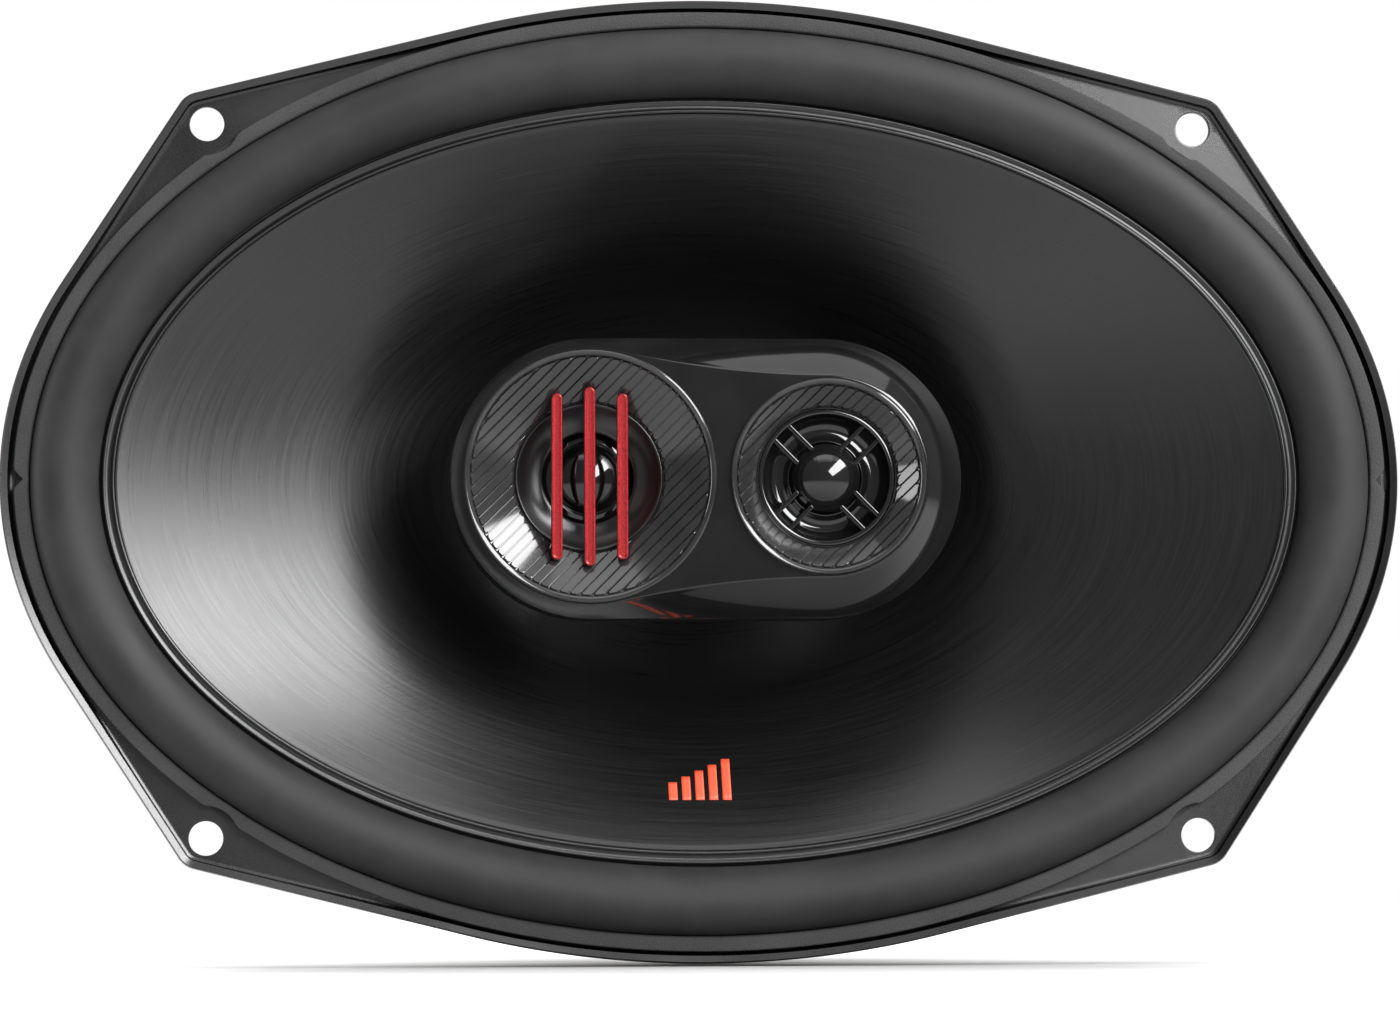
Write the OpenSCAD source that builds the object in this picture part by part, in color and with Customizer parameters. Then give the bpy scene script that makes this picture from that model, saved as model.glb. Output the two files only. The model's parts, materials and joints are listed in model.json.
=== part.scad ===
// Oval coaxial car speaker, 6 x 9 inch class: a large cone with two small drivers on a bridge.
// Every module is drawn with x to the right, y up and z towards the listener.
// The rear face of the mounting flange is z = 0. stand_up() turns that upright.

/* [Flange] */
// Width of the oval part of the flange
flange_w = 237.2; // [234:0.1:240]
// Height of the oval part of the flange
flange_h = 163.2; // [161:0.1:165]
// Distance between bolt holes, left to right
bolt_pitch_x = 168; // [167:0.1:169]
// Distance between bolt holes, top to bottom
bolt_pitch_y = 120.5; // [120:0.1:121.5]
// Diameter of the bolt holes
bolt_hole_d = 5.8; // [5:0.1:6]
// Corner radius of the ears
ear_r = 4.25; // [4:0.05:4.5]
// Thickness of the stamped sheet
sheet_t = 1.2; // [1:0.1:1.4]
// Height of the turned-up edge above the rear face
lip_h = 3.6; // [3.2:0.1:4]
// Thickness of the turned-up edge
lip_t = 1; // [0.8:0.1:1.2]
// Thickness of the front gasket
gasket_t = 1.2; // [0.8:0.1:1.4]

/* [Cone and surround] */
// Width of the cone at its rim
rim_w = 203.4; // [202:0.1:204]
// Height of the cone at its rim
rim_h = 130; // [129:0.1:131]
// Width of the glossy bead around the cone
bead_w = 2.4; // [2:0.1:3]
// Thickness of the cone wall, measured along the axis
cone_t = 0.8; // [0.6:0.1:1]
// Depth from the rim to the neck of the cone
cone_depth = 36; // [34:0.5:37]
// Height of the surround's roll above its edges
roll_h = 5.2; // [4.5:0.1:6]
// Thickness of the surround
roll_t = 0.8; // [0.6:0.1:1]
// Width of the roll, edge to edge
roll_w = 12.2; // [11.8:0.1:12.4]

/* [Motor] */
// Diameter of the pole
pole_d = 30; // [29:0.1:30.2]
// Diameter of the magnet
magnet_d = 90; // [86:0.5:92]
// Thickness of the magnet
magnet_t = 17; // [16:0.5:17]
// Diameter of the top plate and the back plate
plate_d = 85; // [84:0.5:86]
// Thickness of the top plate
top_plate_t = 5; // [4.5:0.5:5]
// Thickness of the back plate
back_plate_t = 6; // [6:0.5:7]
// Outer diameter of the coil former
former_d = 31.9; // [31.7:0.1:32]
// Height of the voice coil winding
coil_h = 11; // [9:0.5:11]

/* [Bridge] */
// Distance from the axis to each small driver
driver_x = 20; // [19.8:0.1:20.4]
// Radius of the bridge front around the tweeter
tweeter_edge_r = 21.6; // [21.5:0.1:22]
// Radius of the bridge front around the supertweeter
super_edge_r = 16.9; // [16.8:0.1:17.2]
// Radius of the bridge's rounded ends
bridge_r = 23.65; // [23.4:0.05:24]
// Half length of the bridge
bridge_half = 43.1; // [43:0.1:43.6]
// Height of the bridge front above the flange's rear face
bridge_front = 13.5; // [13:0.1:14]
// Wall thickness of the bridge
bridge_t = 1.6; // [1.4:0.1:1.8]

/* [Hidden] */
$fn = 96;

// Colours
steel_black = [0.07, 0.07, 0.08];
plastic_black = [0.05, 0.05, 0.06];
rubber_grey = [0.25, 0.25, 0.26];
board_brown = [0.45, 0.33, 0.2];
guard_red = [0.72, 0.06, 0.08];

// Flange
rim_a = rim_w / 2;
rim_b = rim_h / 2;
ear_out = 1.025;
oval_sides = 180;
throat_out = 9.7;
bite_r = 5.4;
notch = 2.4;

// Basket, from the flange down
wall_top_z = 0.6;
collar_z = -8;
ledge_r = 58;
ledge_inner_r = 50;
ledge_z = -40.2;
wall_foot_z = -38.6;
window_top_z = -10.4;
window_foot_z = -34;
basket_cells = 72;
window_period = 12;
window_cells = 8;
can_floor_r = 42;
vent_r = 3.8;
vent_count = 8;

// Motor, from the rear up
motor_top_z = -54.4;
top_plate_z = motor_top_z - top_plate_t;
magnet_z = top_plate_z - magnet_t;
back_z = magnet_z - back_plate_t;
pole_top_z = motor_top_z + 0.4;
gap_r = 17.3;
magnet_bore_r = 22;
nut_recess_r = 9.5;
nut_recess_h = 3.4;
rivet_circle_r = 31;
rivet_r = 1.8;

// Moving assembly
neck_r = former_d / 2;
neck_z = 0.2 - cone_depth;
former_t = 0.4;
cone_sides = 96;
knee_a = 52;
knee_b = 44;
knee_z = -14;
knee_u = 0.45;
knee_w = 0.18;
eyelet_z = -22.6;
coil_foot_z = top_plate_z - (coil_h - top_plate_t) / 2;
spider_z = ledge_z + 0.02;
spider_t = 0.5;
spider_rolls = 6;
spider_wave = 1.2;

// Post through the motor
post_r = 4;
post_bore_r = 2.4;
post_head_r = 8;
sleeve_r = 6.8;

// Bridge
bridge_floor_z = -6;
skirt_z = 7;
floor_top_z = bridge_floor_z + bridge_t;
waist_r = (4 * driver_x ^ 2 + super_edge_r ^ 2 - tweeter_edge_r ^ 2) / (2 * (tweeter_edge_r - super_edge_r));
waist_angle = atan2(2 * driver_x, super_edge_r + waist_r);
screw_spots = [[4, 13.5, 12.4], [4, -13.5, 12.4], [33, 13, 9.2], [33, -13, 9.2]];
boss_r = 2.4;

// Small drivers, measured from the floor of the bridge
cup_t = 1.8;
cup_rim_z = 2.6;
gap_plate_z = 0.8;
dome_edge_z = 4.9;
tweeter_throat_r = 12.4;
super_throat_r = 11.6;

// Terminals
board_y = -70.7;
board_t = 1.6;
board_top_z = -18;
board_foot_z = -36;
blade_x = 9.2;
board_rivet_x = 4;
lead_r = 0.7;

// Routes of the leads on the right-hand side, each from the board
tinsel_route = [
  [8.2, -72.7, -15.8], [12, -72.9, -15.6], [17, -71.4, -16.3], [21, -67, -18.2], [22.4, -60, -21],
  [21.4, -52.4, -23.2], [18.6, -45.6, -23.9], [15.6, -40.2, -23], [13.3, -37.35, -22.3]
];
feed_route = [
  [1, 0, 1], [1, 0, -12], [1, 0, -34], [1, 0, -56], [1, 0, -76], [1, -0.2, -80.4], [1, -1.7, -82.9],
  [1, -5, -83.5], [1, -18, -83.5], [1, -36, -83.5], [1, -43.6, -83], [1, -46.2, -79.6],
  [1, -46.4, -72], [1, -46.6, -62], [1, -50.6, -54], [1, -57.6, -48.6], [1, -64.2, -44.4],
  [1, -68.6, -39.6], [1, -69.9, -34]
];

// ---------- helpers ----------

// Turns the drawing frame so that the front faces -Y and the top faces +Z
module stand_up() {
  rotate([90, 0, 0]) children();
}

// Moves a small driver's piece to its place on the bridge
module on_tweeter_axis() {
  stand_up() translate([-driver_x, 0, 0]) children();
}

module on_super_axis() {
  stand_up() translate([driver_x, 0, 0]) children();
}

// Even steps from 0 to 1
function steps(n) = [for (i = [0:n]) i / n];

// Points around an oval with half axes a and b
function oval(a, b, sides) = [for (i = [0:sides - 1]) [a * cos(360 * i / sides), b * sin(360 * i / sides)]];

module oval_plate(a, b) {
  polygon(oval(a, b, oval_sides));
}

// An oval at a fixed distance outside the rim of the cone
module rim_oval(out) {
  oval_plate(rim_a + out, rim_b + out);
}

module ring(outer_r, inner_r, low_z, high_z) {
  translate([0, 0, low_z]) linear_extrude(high_z - low_z) difference() {
    circle(r = outer_r);
    circle(r = inner_r);
  }
}

module disc(r, low_z, high_z) {
  translate([0, 0, low_z]) cylinder(r = r, h = high_z - low_z);
}

module at_bolts() {
  for (x = [-1, 1], y = [-1, 1]) translate([x * bolt_pitch_x / 2, y * bolt_pitch_y / 2, 0]) children();
}

// A solid swept through closed sections, joined end to end. Each section lists points clockwise
// as seen along the sweep.
module closed_sweep(sections) {
  turns = len(sections);
  sides = len(sections[0]);
  polyhedron(
    points = [for (section = sections) each section],
    faces = [
      for (i = [0:turns - 1], j = [0:sides - 1])
        let (
          here = i * sides,
          next = ((i + 1) % turns) * sides,
          up = (j + 1) % sides
        )
        each [[here + j, here + up, next + j], [here + up, next + up, next + j]]
    ]
  );
}

// A thin tube along a list of points
module lead_tube(route, r, aside) {
  sides = 8;
  last = len(route) - 1;
  points = [
    for (i = [0:last])
      let (
        along = route[min(i + 1, last)] - route[max(i - 1, 0)],
        ahead = along / norm(along),
        across = cross(ahead, aside) / norm(cross(ahead, aside)),
        rise = cross(across, ahead)
      )
      for (k = [0:sides - 1]) route[i] + r * (cos(360 * k / sides) * across + sin(360 * k / sides) * rise)
  ];
  polyhedron(
    points = points,
    faces = [
      [for (k = [sides - 1:-1:0]) k],
      [for (k = [0:sides - 1]) last * sides + k],
      for (i = [0:last - 1], k = [0:sides - 1])
        let (a = i * sides + k, b = i * sides + (k + 1) % sides)
        each [[a, b, a + sides], [b, b + sides, a + sides]]
    ]
  );
}

// Points between the given ones, on a smooth curve through them
function smooth_route(p, parts) = [
  for (i = [0:len(p) - 2], s = [0:parts - 1])
    let (
      t = s / parts,
      before = p[max(i - 1, 0)],
      after = p[min(i + 2, len(p) - 1)]
    )
    0.5 * (
      2 * p[i] + (p[i + 1] - before) * t + (2 * before - 5 * p[i] + 4 * p[i + 1] - after) * t ^ 2
      + (3 * p[i] - before - 3 * p[i + 1] + after) * t ^ 3
    ),
  p[len(p) - 1]
];

function mirror_route(p) = [for (q = p) [-q.x, q.y, q.z]];

// ---------- basket ----------

module flange_outline() {
  hull() {
    oval_plate(flange_w / 2, flange_h / 2);
    for (x = [-1, 1], y = [-1, 1])
      translate([x * (bolt_pitch_x / 2 + ear_out), y * (bolt_pitch_y / 2 + ear_out)])
        circle(r = ear_r, $fn = 48);
  }
}

module flange() {
  linear_extrude(sheet_t) difference() {
    flange_outline();
    rim_oval(throat_out);
  }
  linear_extrude(lip_h) difference() {
    flange_outline();
    offset(delta = -lip_t) flange_outline();
  }
}

// Half axes and height of the inner face of the wall: a steep collar, then slanting legs
function wall_row(z) =
  let (s = max(0, (collar_z - z) / (collar_z - wall_foot_z)), open = (1 - s) ^ 0.85)
  z > collar_z
    ? [rim_a + throat_out - (wall_top_z - z) * 0.14, rim_b + throat_out - (wall_top_z - z) * 0.14, z]
    : [ledge_r + 1 + (rim_a + throat_out - 1.2 - ledge_r - 1) * open,
       ledge_r + 1 + (rim_b + throat_out - 1.2 - ledge_r - 1) * open, z];

module basket_wall() {
  heights = [
    wall_top_z, collar_z / 2, collar_z, window_top_z,
    for (s = steps(4)) if (s > 0) window_top_z + (window_foot_z - window_top_z) * s,
    wall_foot_z
  ];
  rows = len(heights);
  inner = [for (z = heights) wall_row(z)];
  outer = [for (z = heights) wall_row(z) + (z > collar_z ? [sheet_t, sheet_t, 0] : [1, 1, -0.7])];
  function at(row, i) = let (t = 360 * i / basket_cells) [row[0] * cos(t), row[1] * sin(t), row[2]];
  function cell_is_open(i, j) =
    j < 0 || j >= rows - 1
    || (heights[j] <= window_top_z && heights[j + 1] >= window_foot_z
        && (i + window_cells / 2 + basket_cells) % window_period < window_cells);
  function spot(side, i, j) = (side * rows + j) * basket_cells + i % basket_cells;
  function quad(a, b, c, d) = [[a, c, b], [a, d, c]];
  polyhedron(
    points = [for (side = [inner, outer], row = side, i = [0:basket_cells - 1]) at(row, i)],
    faces = [
      for (i = [0:basket_cells - 1], j = [0:rows - 2]) if (!cell_is_open(i, j))
        each concat(
          quad(spot(0, i, j), spot(0, i + 1, j), spot(0, i + 1, j + 1), spot(0, i, j + 1)),
          quad(spot(1, i, j), spot(1, i, j + 1), spot(1, i + 1, j + 1), spot(1, i + 1, j)),
          cell_is_open(i, j - 1)
            ? quad(spot(0, i, j), spot(1, i, j), spot(1, i + 1, j), spot(0, i + 1, j)) : [],
          cell_is_open(i, j + 1)
            ? quad(spot(0, i, j + 1), spot(0, i + 1, j + 1), spot(1, i + 1, j + 1), spot(1, i, j + 1)) : [],
          cell_is_open(i + basket_cells - 1, j)
            ? quad(spot(0, i, j), spot(0, i, j + 1), spot(1, i, j + 1), spot(1, i, j)) : [],
          cell_is_open(i + 1, j)
            ? quad(spot(0, i + 1, j), spot(1, i + 1, j), spot(1, i + 1, j + 1), spot(0, i + 1, j + 1)) : []
        )
    ]
  );
}

// The round lower part: a stiffening rim, the ledge that the spider rests on, and the can below it
module basket_can() {
  rotate_extrude() polygon([
    [ledge_r, ledge_z + 2.8], [ledge_r + 2.8, ledge_z + 2.8], [ledge_r + 2.8, ledge_z - sheet_t],
    [ledge_inner_r, ledge_z - sheet_t], [can_floor_r + 1.2, motor_top_z + 1.6], [can_floor_r, motor_top_z],
    [gap_r + 3, motor_top_z], [gap_r + 3, motor_top_z + sheet_t], [can_floor_r - 0.8, motor_top_z + sheet_t],
    [ledge_inner_r - 1.4, ledge_z], [ledge_r, ledge_z]
  ]);
}

// A short tab stamped out of the lowest leg, which carries the terminal board
module board_tab() {
  translate([-9, board_y, -27.2]) cube([18, 8, sheet_t]);
  translate([-9, board_y, -32]) cube([18, sheet_t, 6]);
}

module basket() {
  color(steel_black) stand_up() difference() {
    union() {
      flange();
      basket_wall();
      basket_can();
      board_tab();
    }
    at_bolts() disc(bolt_hole_d / 2, -1, lip_h);
    for (i = [0:vent_count - 1])
      rotate([0, 0, 360 * (i + 0.5) / vent_count])
        translate([36, 0, -47]) rotate([0, 90, 0]) cylinder(r = vent_r, h = 18);
    at_plate_rivets() disc(rivet_r + 0.05, motor_top_z - 1, motor_top_z + 3);
    at_terminal_rivets() cylinder(r = 1, h = 8, center = true);
  }
}

module front_gasket() {
  low_z = sheet_t + roll_t + 0.1;
  color([0.3, 0.3, 0.31]) stand_up() translate([0, 0, low_z]) linear_extrude(gasket_t) difference() {
    rim_oval(roll_w + 2.4);
    rim_oval(roll_w + 0.1);
    at_bolts() circle(r = bite_r);
    for (side = [-1, 1]) translate([side * (rim_a + roll_w + 3), 0]) circle(r = notch, $fn = 4);
  }
}

// ---------- motor ----------

module at_plate_rivets() {
  for (i = [0:3]) rotate([0, 0, 45 + 90 * i]) translate([rivet_circle_r, 0, 0]) children();
}

module top_plate() {
  color("silver") stand_up() difference() {
    ring(plate_d / 2, gap_r, top_plate_z, motor_top_z);
    at_plate_rivets() disc(rivet_r + 0.05, top_plate_z - 1, motor_top_z + 1);
  }
}

module plate_rivets() {
  color("silver") stand_up() at_plate_rivets() {
    disc(rivet_r, top_plate_z + 0.6, motor_top_z + sheet_t + 0.5);
    disc(rivet_r + 1.1, motor_top_z + sheet_t, motor_top_z + sheet_t + 1);
  }
}

module magnet() {
  color([0.16, 0.16, 0.17]) stand_up() ring(magnet_d / 2, magnet_bore_r, magnet_z, top_plate_z);
}

module back_plate() {
  color("silver") stand_up() rotate_extrude() polygon([
    [nut_recess_r, back_z], [plate_d / 2 - 1, back_z], [plate_d / 2, back_z + 1], [plate_d / 2, magnet_z],
    [post_r + 0.1, magnet_z], [post_r + 0.1, back_z + nut_recess_h], [nut_recess_r, back_z + nut_recess_h]
  ]);
}

module pole() {
  color("silver") stand_up() rotate_extrude() polygon([
    [post_r + 0.1, magnet_z], [pole_d / 2 + 2, magnet_z], [pole_d / 2, magnet_z + 2],
    [pole_d / 2, pole_top_z - 0.6], [pole_d / 2 - 0.6, pole_top_z], [post_r + 0.1, pole_top_z]
  ]);
}

// ---------- cone assembly ----------

function between(a, b, share) = a + (b - a) * share;

// Half axes and height of the cone's front face, from the neck (0) to the bead (1). A steep throat
// bends smoothly into the flatter oval mouth.
throat_row = [neck_r + 0.6, neck_r + 0.6, neck_z];
knee_row = [knee_a, knee_b, knee_z];
mouth_row = [rim_a - bead_w - 0.4, rim_b - bead_w - 0.4, 0.2];

function cone_row(u) =
  u < knee_u - knee_w ? between(throat_row, knee_row, u / knee_u)
  : u > knee_u + knee_w ? between(knee_row, mouth_row, (u - knee_u) / (1 - knee_u))
  : let (
      s = (u - knee_u + knee_w) / (2 * knee_w),
      low = between(throat_row, knee_row, 1 - knee_w / knee_u),
      high = between(knee_row, mouth_row, knee_w / (1 - knee_u))
    )
    low * (1 - s) ^ 2 + knee_row * 2 * s * (1 - s) + high * s ^ 2;

function rim_row(out, z) = [rim_a + out, rim_b + out, z];

module cone() {
  bend = [for (s = steps(6)) knee_u + knee_w * (2 * s - 1)];
  stations = concat([0], bend, [1]);
  front = [for (u = stations) cone_row(u)];
  back = [for (i = [len(stations) - 1:-1:0]) cone_row(stations[i]) - [0, 0, cone_t]];
  profile = concat(
    [[neck_r + 0.05, neck_r + 0.05, neck_z]],
    front,
    [rim_row(-bead_w, 0.9), rim_row(-0.3, 0.9), rim_row(0, 0.6), rim_row(0, -0.2), rim_row(-bead_w, -0.2)],
    back,
    [[neck_r + 0.6, neck_r + 0.6, neck_z - 2.4], [neck_r + 0.05, neck_r + 0.05, neck_z - 2.4]]
  );
  color(plastic_black) stand_up() closed_sweep([
    for (i = [0:cone_sides - 1])
      let (t = 360 * i / cone_sides)
      [for (k = [len(profile) - 1:-1:0]) [profile[k][0] * cos(t), profile[k][1] * sin(t), profile[k][2]]]
  ]);
}

module surround() {
  edge_z = -0.25;
  foot_z = sheet_t + 0.05;
  crown = [
    for (s = steps(8))
      let (angle = 180 - 180 * s)
      [roll_w / 2 + (roll_w / 2 - 0.3) * cos(angle),
       edge_z + (foot_z + roll_t - edge_z) * s + roll_h * sin(angle)]
  ];
  hollow = [
    for (s = steps(8))
      let (angle = 180 * s)
      [roll_w / 2 + (roll_w / 2 - 1.1) * cos(angle),
       edge_z - roll_t + (foot_z + roll_t - edge_z) * (1 - s) + roll_h * sin(angle)]
  ];
  profile = concat(
    [[-2.2, edge_z - 0.6], [-2.2, edge_z]], crown,
    [[roll_w + 2, foot_z + roll_t - 0.1], [roll_w + 2, foot_z], [roll_w - 0.2, foot_z]], hollow
  );
  color(rubber_grey) stand_up() closed_sweep([
    for (i = [0:cone_sides - 1])
      let (t = 360 * i / cone_sides)
      [for (k = [len(profile) - 1:-1:0])
        [(rim_a + profile[k][0]) * cos(t), (rim_b + profile[k][0]) * sin(t), profile[k][1]]]
  ]);
}

module spider() {
  wave_in = neck_r + 3;
  wave_out = ledge_inner_r - 2;
  waves = 8 * spider_rolls;
  line = [
    [neck_r + 0.05, spider_z],
    for (s = steps(waves))
      [wave_in + (wave_out - wave_in) * s, spider_z + spider_wave * sin(360 * spider_rolls * s)],
    [ledge_r - 0.6, spider_z]
  ];
  color([0.72, 0.6, 0.32]) stand_up() rotate_extrude() polygon(concat(
    line, [for (i = [len(line) - 1:-1:0]) line[i] + [0, spider_t]]
  ));
}

module coil_former() {
  color([0.75, 0.6, 0.35]) stand_up() ring(neck_r, neck_r - former_t, coil_foot_z, neck_z + 0.6);
}

module voice_coil() {
  color([0.75, 0.4, 0.2]) stand_up() ring(neck_r + 0.75, neck_r, coil_foot_z, coil_foot_z + coil_h);
}

// Felt ring that closes the former around the post
module dust_ring() {
  color(steel_black) stand_up() ring(neck_r - former_t, sleeve_r + 0.6, neck_z - 1.2, neck_z);
}

module lead_eyelets() {
  color("silver") stand_up() for (side = [-1, 1]) translate([side * 12, -36, eyelet_z]) {
    disc(0.8, 0, 1.9);
    ring(1.6, 0.7, -0.1, 0.7);
  }
}

// ---------- terminals ----------

module at_terminal_rivets() {
  for (side = [-1, 1])
    translate([side * board_rivet_x, board_y - board_t / 2, -29.5]) rotate([90, 0, 0]) children();
}

module terminal_board() {
  color(board_brown) stand_up() difference() {
    translate([-13, board_y - board_t, board_foot_z]) cube([26, board_t, board_top_z - board_foot_z]);
    at_terminal_rivets() cylinder(r = 1, h = 8, center = true);
  }
}

module terminal_rivets() {
  color("silver") stand_up() at_terminal_rivets() {
    cylinder(r = 1, h = board_t + 2 * sheet_t + 0.8, center = true);
    translate([0, 0, board_t / 2]) cylinder(r = 1.7, h = 0.7);
  }
}

// A push-on blade with a solder lug at its upper end
module terminal(x, blade_w, blade_t) {
  color("silver") stand_up() translate([x, board_y - board_t - blade_t, 0]) difference() {
    union() {
      translate([-blade_w / 2, 0, -46]) cube([blade_w, blade_t, 19]);
      translate([-1.5, 0, -28]) cube([3, blade_t, 11.4]);
    }
    translate([0, -1, -42.5]) rotate([-90, 0, 0]) cylinder(r = 0.8, h = 3);
  }
}

module terminal_positive() {
  terminal(blade_x, 6.3, 0.8);
}

module terminal_negative() {
  terminal(-blade_x, 4.8, 0.8);
}

module tinsel_lead_positive() {
  color([0.8, 0.55, 0.35]) stand_up() lead_tube(smooth_route(tinsel_route, 3), lead_r, [0, 0, 1]);
}

module tinsel_lead_negative() {
  color([0.8, 0.55, 0.35]) stand_up()
    lead_tube(smooth_route(mirror_route(tinsel_route), 3), lead_r, [0, 0, 1]);
}

module feed_lead_positive() {
  color("crimson") stand_up() lead_tube(smooth_route(feed_route, 2), lead_r, [1, 0, 0]);
}

module feed_lead_negative() {
  color([0.1, 0.1, 0.1]) stand_up() lead_tube(smooth_route(mirror_route(feed_route), 2), lead_r, [1, 0, 0]);
}

// ---------- post ----------

module bridge_post() {
  color("silver") stand_up() rotate_extrude() polygon([
    [post_bore_r, back_z + 0.1], [post_r, back_z + 0.1], [post_r, floor_top_z], [post_head_r, floor_top_z],
    [post_head_r, floor_top_z + 2], [post_bore_r, floor_top_z + 2]
  ]);
}

module post_sleeve() {
  color(plastic_black) stand_up() ring(sleeve_r, post_r + 0.1, pole_top_z, bridge_floor_z);
}

module post_washer() {
  color("silver") stand_up() ring(7.6, post_r + 0.1, back_z + nut_recess_h - 0.7, back_z + nut_recess_h);
}

module post_nut() {
  color("silver") stand_up() translate([0, 0, back_z + 0.2]) difference() {
    cylinder(r = 7.5, h = nut_recess_h - 0.9, $fn = 6);
    translate([0, 0, -1]) cylinder(r = post_r + 0.05, h = 6);
  }
}

// ---------- bridge ----------

// The nearest point on the rounded outline of the bridge, seen from its middle line
function stadium_point(p, r) =
  let (
    reach = bridge_half - bridge_r,
    middle = [min(max(p.x, -reach), reach), 0],
    away = p - middle
  )
  middle + r * away / norm(away);

function arc(centre, r, from, to, parts) =
  [for (s = steps(parts)) centre + r * [cos(from + (to - from) * s), sin(from + (to - from) * s)]];

function without_last(p) = [for (i = [0:len(p) - 2]) p[i]];

// Two circles joined by a hollow waist, drawn a distance inside the edge of the bridge's front
function fascia_outline(inside) =
  let (
    high = [driver_x, super_edge_r + waist_r],
    low = [driver_x, -super_edge_r - waist_r],
    waist = waist_r + inside,
    tilt = waist_angle
  )
  concat(
    without_last(arc([-driver_x, 0], tweeter_edge_r - inside, 90 - tilt, 270 + tilt, 40)),
    without_last(arc(low, waist, 90 + tilt, 90, 8)),
    without_last(arc([driver_x, 0], super_edge_r - inside, -90, 90, 28)),
    without_last(arc(high, waist, 270, 270 - tilt, 8))
  );

function lifted(outline, z) = [for (p = outline) [p.x, p.y, z]];

// The tub of the bridge, open to the front
module bridge_housing() {
  edge = fascia_outline(0);
  color(plastic_black) stand_up() difference() {
    union() {
      translate([0, 0, bridge_floor_z]) linear_extrude(bridge_t)
        polygon([for (p = edge) stadium_point(p, bridge_r)]);
      translate([0, 0, bridge_floor_z]) linear_extrude(skirt_z - bridge_floor_z) difference() {
        polygon([for (p = edge) stadium_point(p, bridge_r)]);
        polygon([for (p = edge) stadium_point(p, bridge_r - bridge_t)]);
      }
    }
    disc(post_r + 0.1, bridge_floor_z - 1, 0);
    for (s = screw_spots) translate([s.x, s.y, 0]) disc(1.3, bridge_floor_z - 1, 0);
  }
}

// The glossy front: a sloping skirt up to the waisted edge, and a flat face with two openings
module bridge_fascia() {
  edge = fascia_outline(0);
  n = len(edge);
  top = lifted(edge, bridge_front);
  foot = lifted([for (p = edge) stadium_point(p, bridge_r)], skirt_z);
  inner_foot = lifted([for (p = edge) stadium_point(p, bridge_r - bridge_t)], skirt_z);
  ceiling = lifted(fascia_outline(1.4), bridge_front - 1.4);
  color(plastic_black) stand_up() difference() {
    union() {
      polyhedron(
        points = concat(foot, top, ceiling, inner_foot, [[0, 0, bridge_front], [0, 0, bridge_front - 1.4]]),
        faces = [
          for (i = [0:n - 1])
            let (k = (i + 1) % n)
            each [
              [i, n + i, k], [k, n + i, n + k],
              [n + i, 4 * n, n + k], [2 * n + i, 2 * n + k, 4 * n + 1],
              [2 * n + i, 3 * n + i, 2 * n + k], [2 * n + k, 3 * n + i, 3 * n + k],
              [3 * n + i, i, 3 * n + k], [3 * n + k, i, k]
            ]
        ]
      );
      for (s = screw_spots) translate([s.x, s.y, 0]) disc(boss_r, floor_top_z, s.z);
    }
    translate([-driver_x, 0, 0]) disc(20.5, skirt_z + 1, bridge_front + 2);
    translate([driver_x, 0, 0]) disc(15.8, skirt_z + 1, bridge_front + 2);
    for (s = screw_spots) translate([s.x, s.y, 0]) disc(1.15, floor_top_z - 1, 5);
  }
}

module bridge_screws() {
  color("silver") stand_up() for (s = screw_spots) translate([s.x, s.y, 0]) {
    disc(1.1, bridge_floor_z - 0.5, 4);
    disc(2.2, bridge_floor_z - 1.4, bridge_floor_z);
  }
}

module capacitor(side) {
  color([0.1, 0.25, 0.5]) stand_up() translate([0.8, side * 5.8, 2.2]) rotate([90, 0, 0])
    cylinder(r = 3.9, h = 10, center = true);
}

module tweeter_capacitor() {
  capacitor(1);
}

module supertweeter_capacitor() {
  capacitor(-1);
}

// ---------- small drivers ----------

// Steel pot with a gap ring at its mouth
module cup(outer_r, gap_outer_r) {
  rotate_extrude() polygon([
    [0, floor_top_z], [outer_r, floor_top_z], [outer_r, cup_rim_z], [gap_outer_r, cup_rim_z],
    [gap_outer_r, gap_plate_z], [outer_r - cup_t, gap_plate_z], [outer_r - cup_t, floor_top_z + cup_t],
    [0, floor_top_z + cup_t]
  ]);
}

// A thin dome with one roll around it
module dome(dome_r, dome_h, roll_r, edge_r) {
  film = 0.3;
  foot = dome_edge_z + film;
  sphere_r = (dome_r ^ 2 + dome_h ^ 2) / (2 * dome_h);
  half_angle = asin(dome_r / sphere_r);
  line = concat(
    [for (s = steps(8))
      [sphere_r * sin(half_angle * s), foot + dome_h - sphere_r * (1 - cos(half_angle * s))]],
    [for (s = steps(6)) [dome_r + 0.4 + (roll_r - dome_r - 0.4) * s, foot + 0.7 * sin(180 * s)]],
    [[edge_r, foot]]
  );
  rotate_extrude() polygon(concat(line, [for (i = [len(line) - 1:-1:0]) line[i] - [0, film]]));
}

module tweeter_cup() {
  color("silver") on_tweeter_axis() cup(11, 7.6);
}

module tweeter_magnet() {
  color("gray") on_tweeter_axis() disc(5.6, floor_top_z + cup_t, gap_plate_z);
}

module tweeter_pole_plate() {
  color("silver") on_tweeter_axis() disc(6.2, gap_plate_z, cup_rim_z - 0.2);
}

module tweeter_coil() {
  color([0.75, 0.4, 0.2]) on_tweeter_axis() ring(7.2, 6.6, 0.2, dome_edge_z);
}

module tweeter_diaphragm() {
  color([0.2, 0.2, 0.22]) on_tweeter_axis() dome(6, 2.8, 8.6, 9.4);
}

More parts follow.
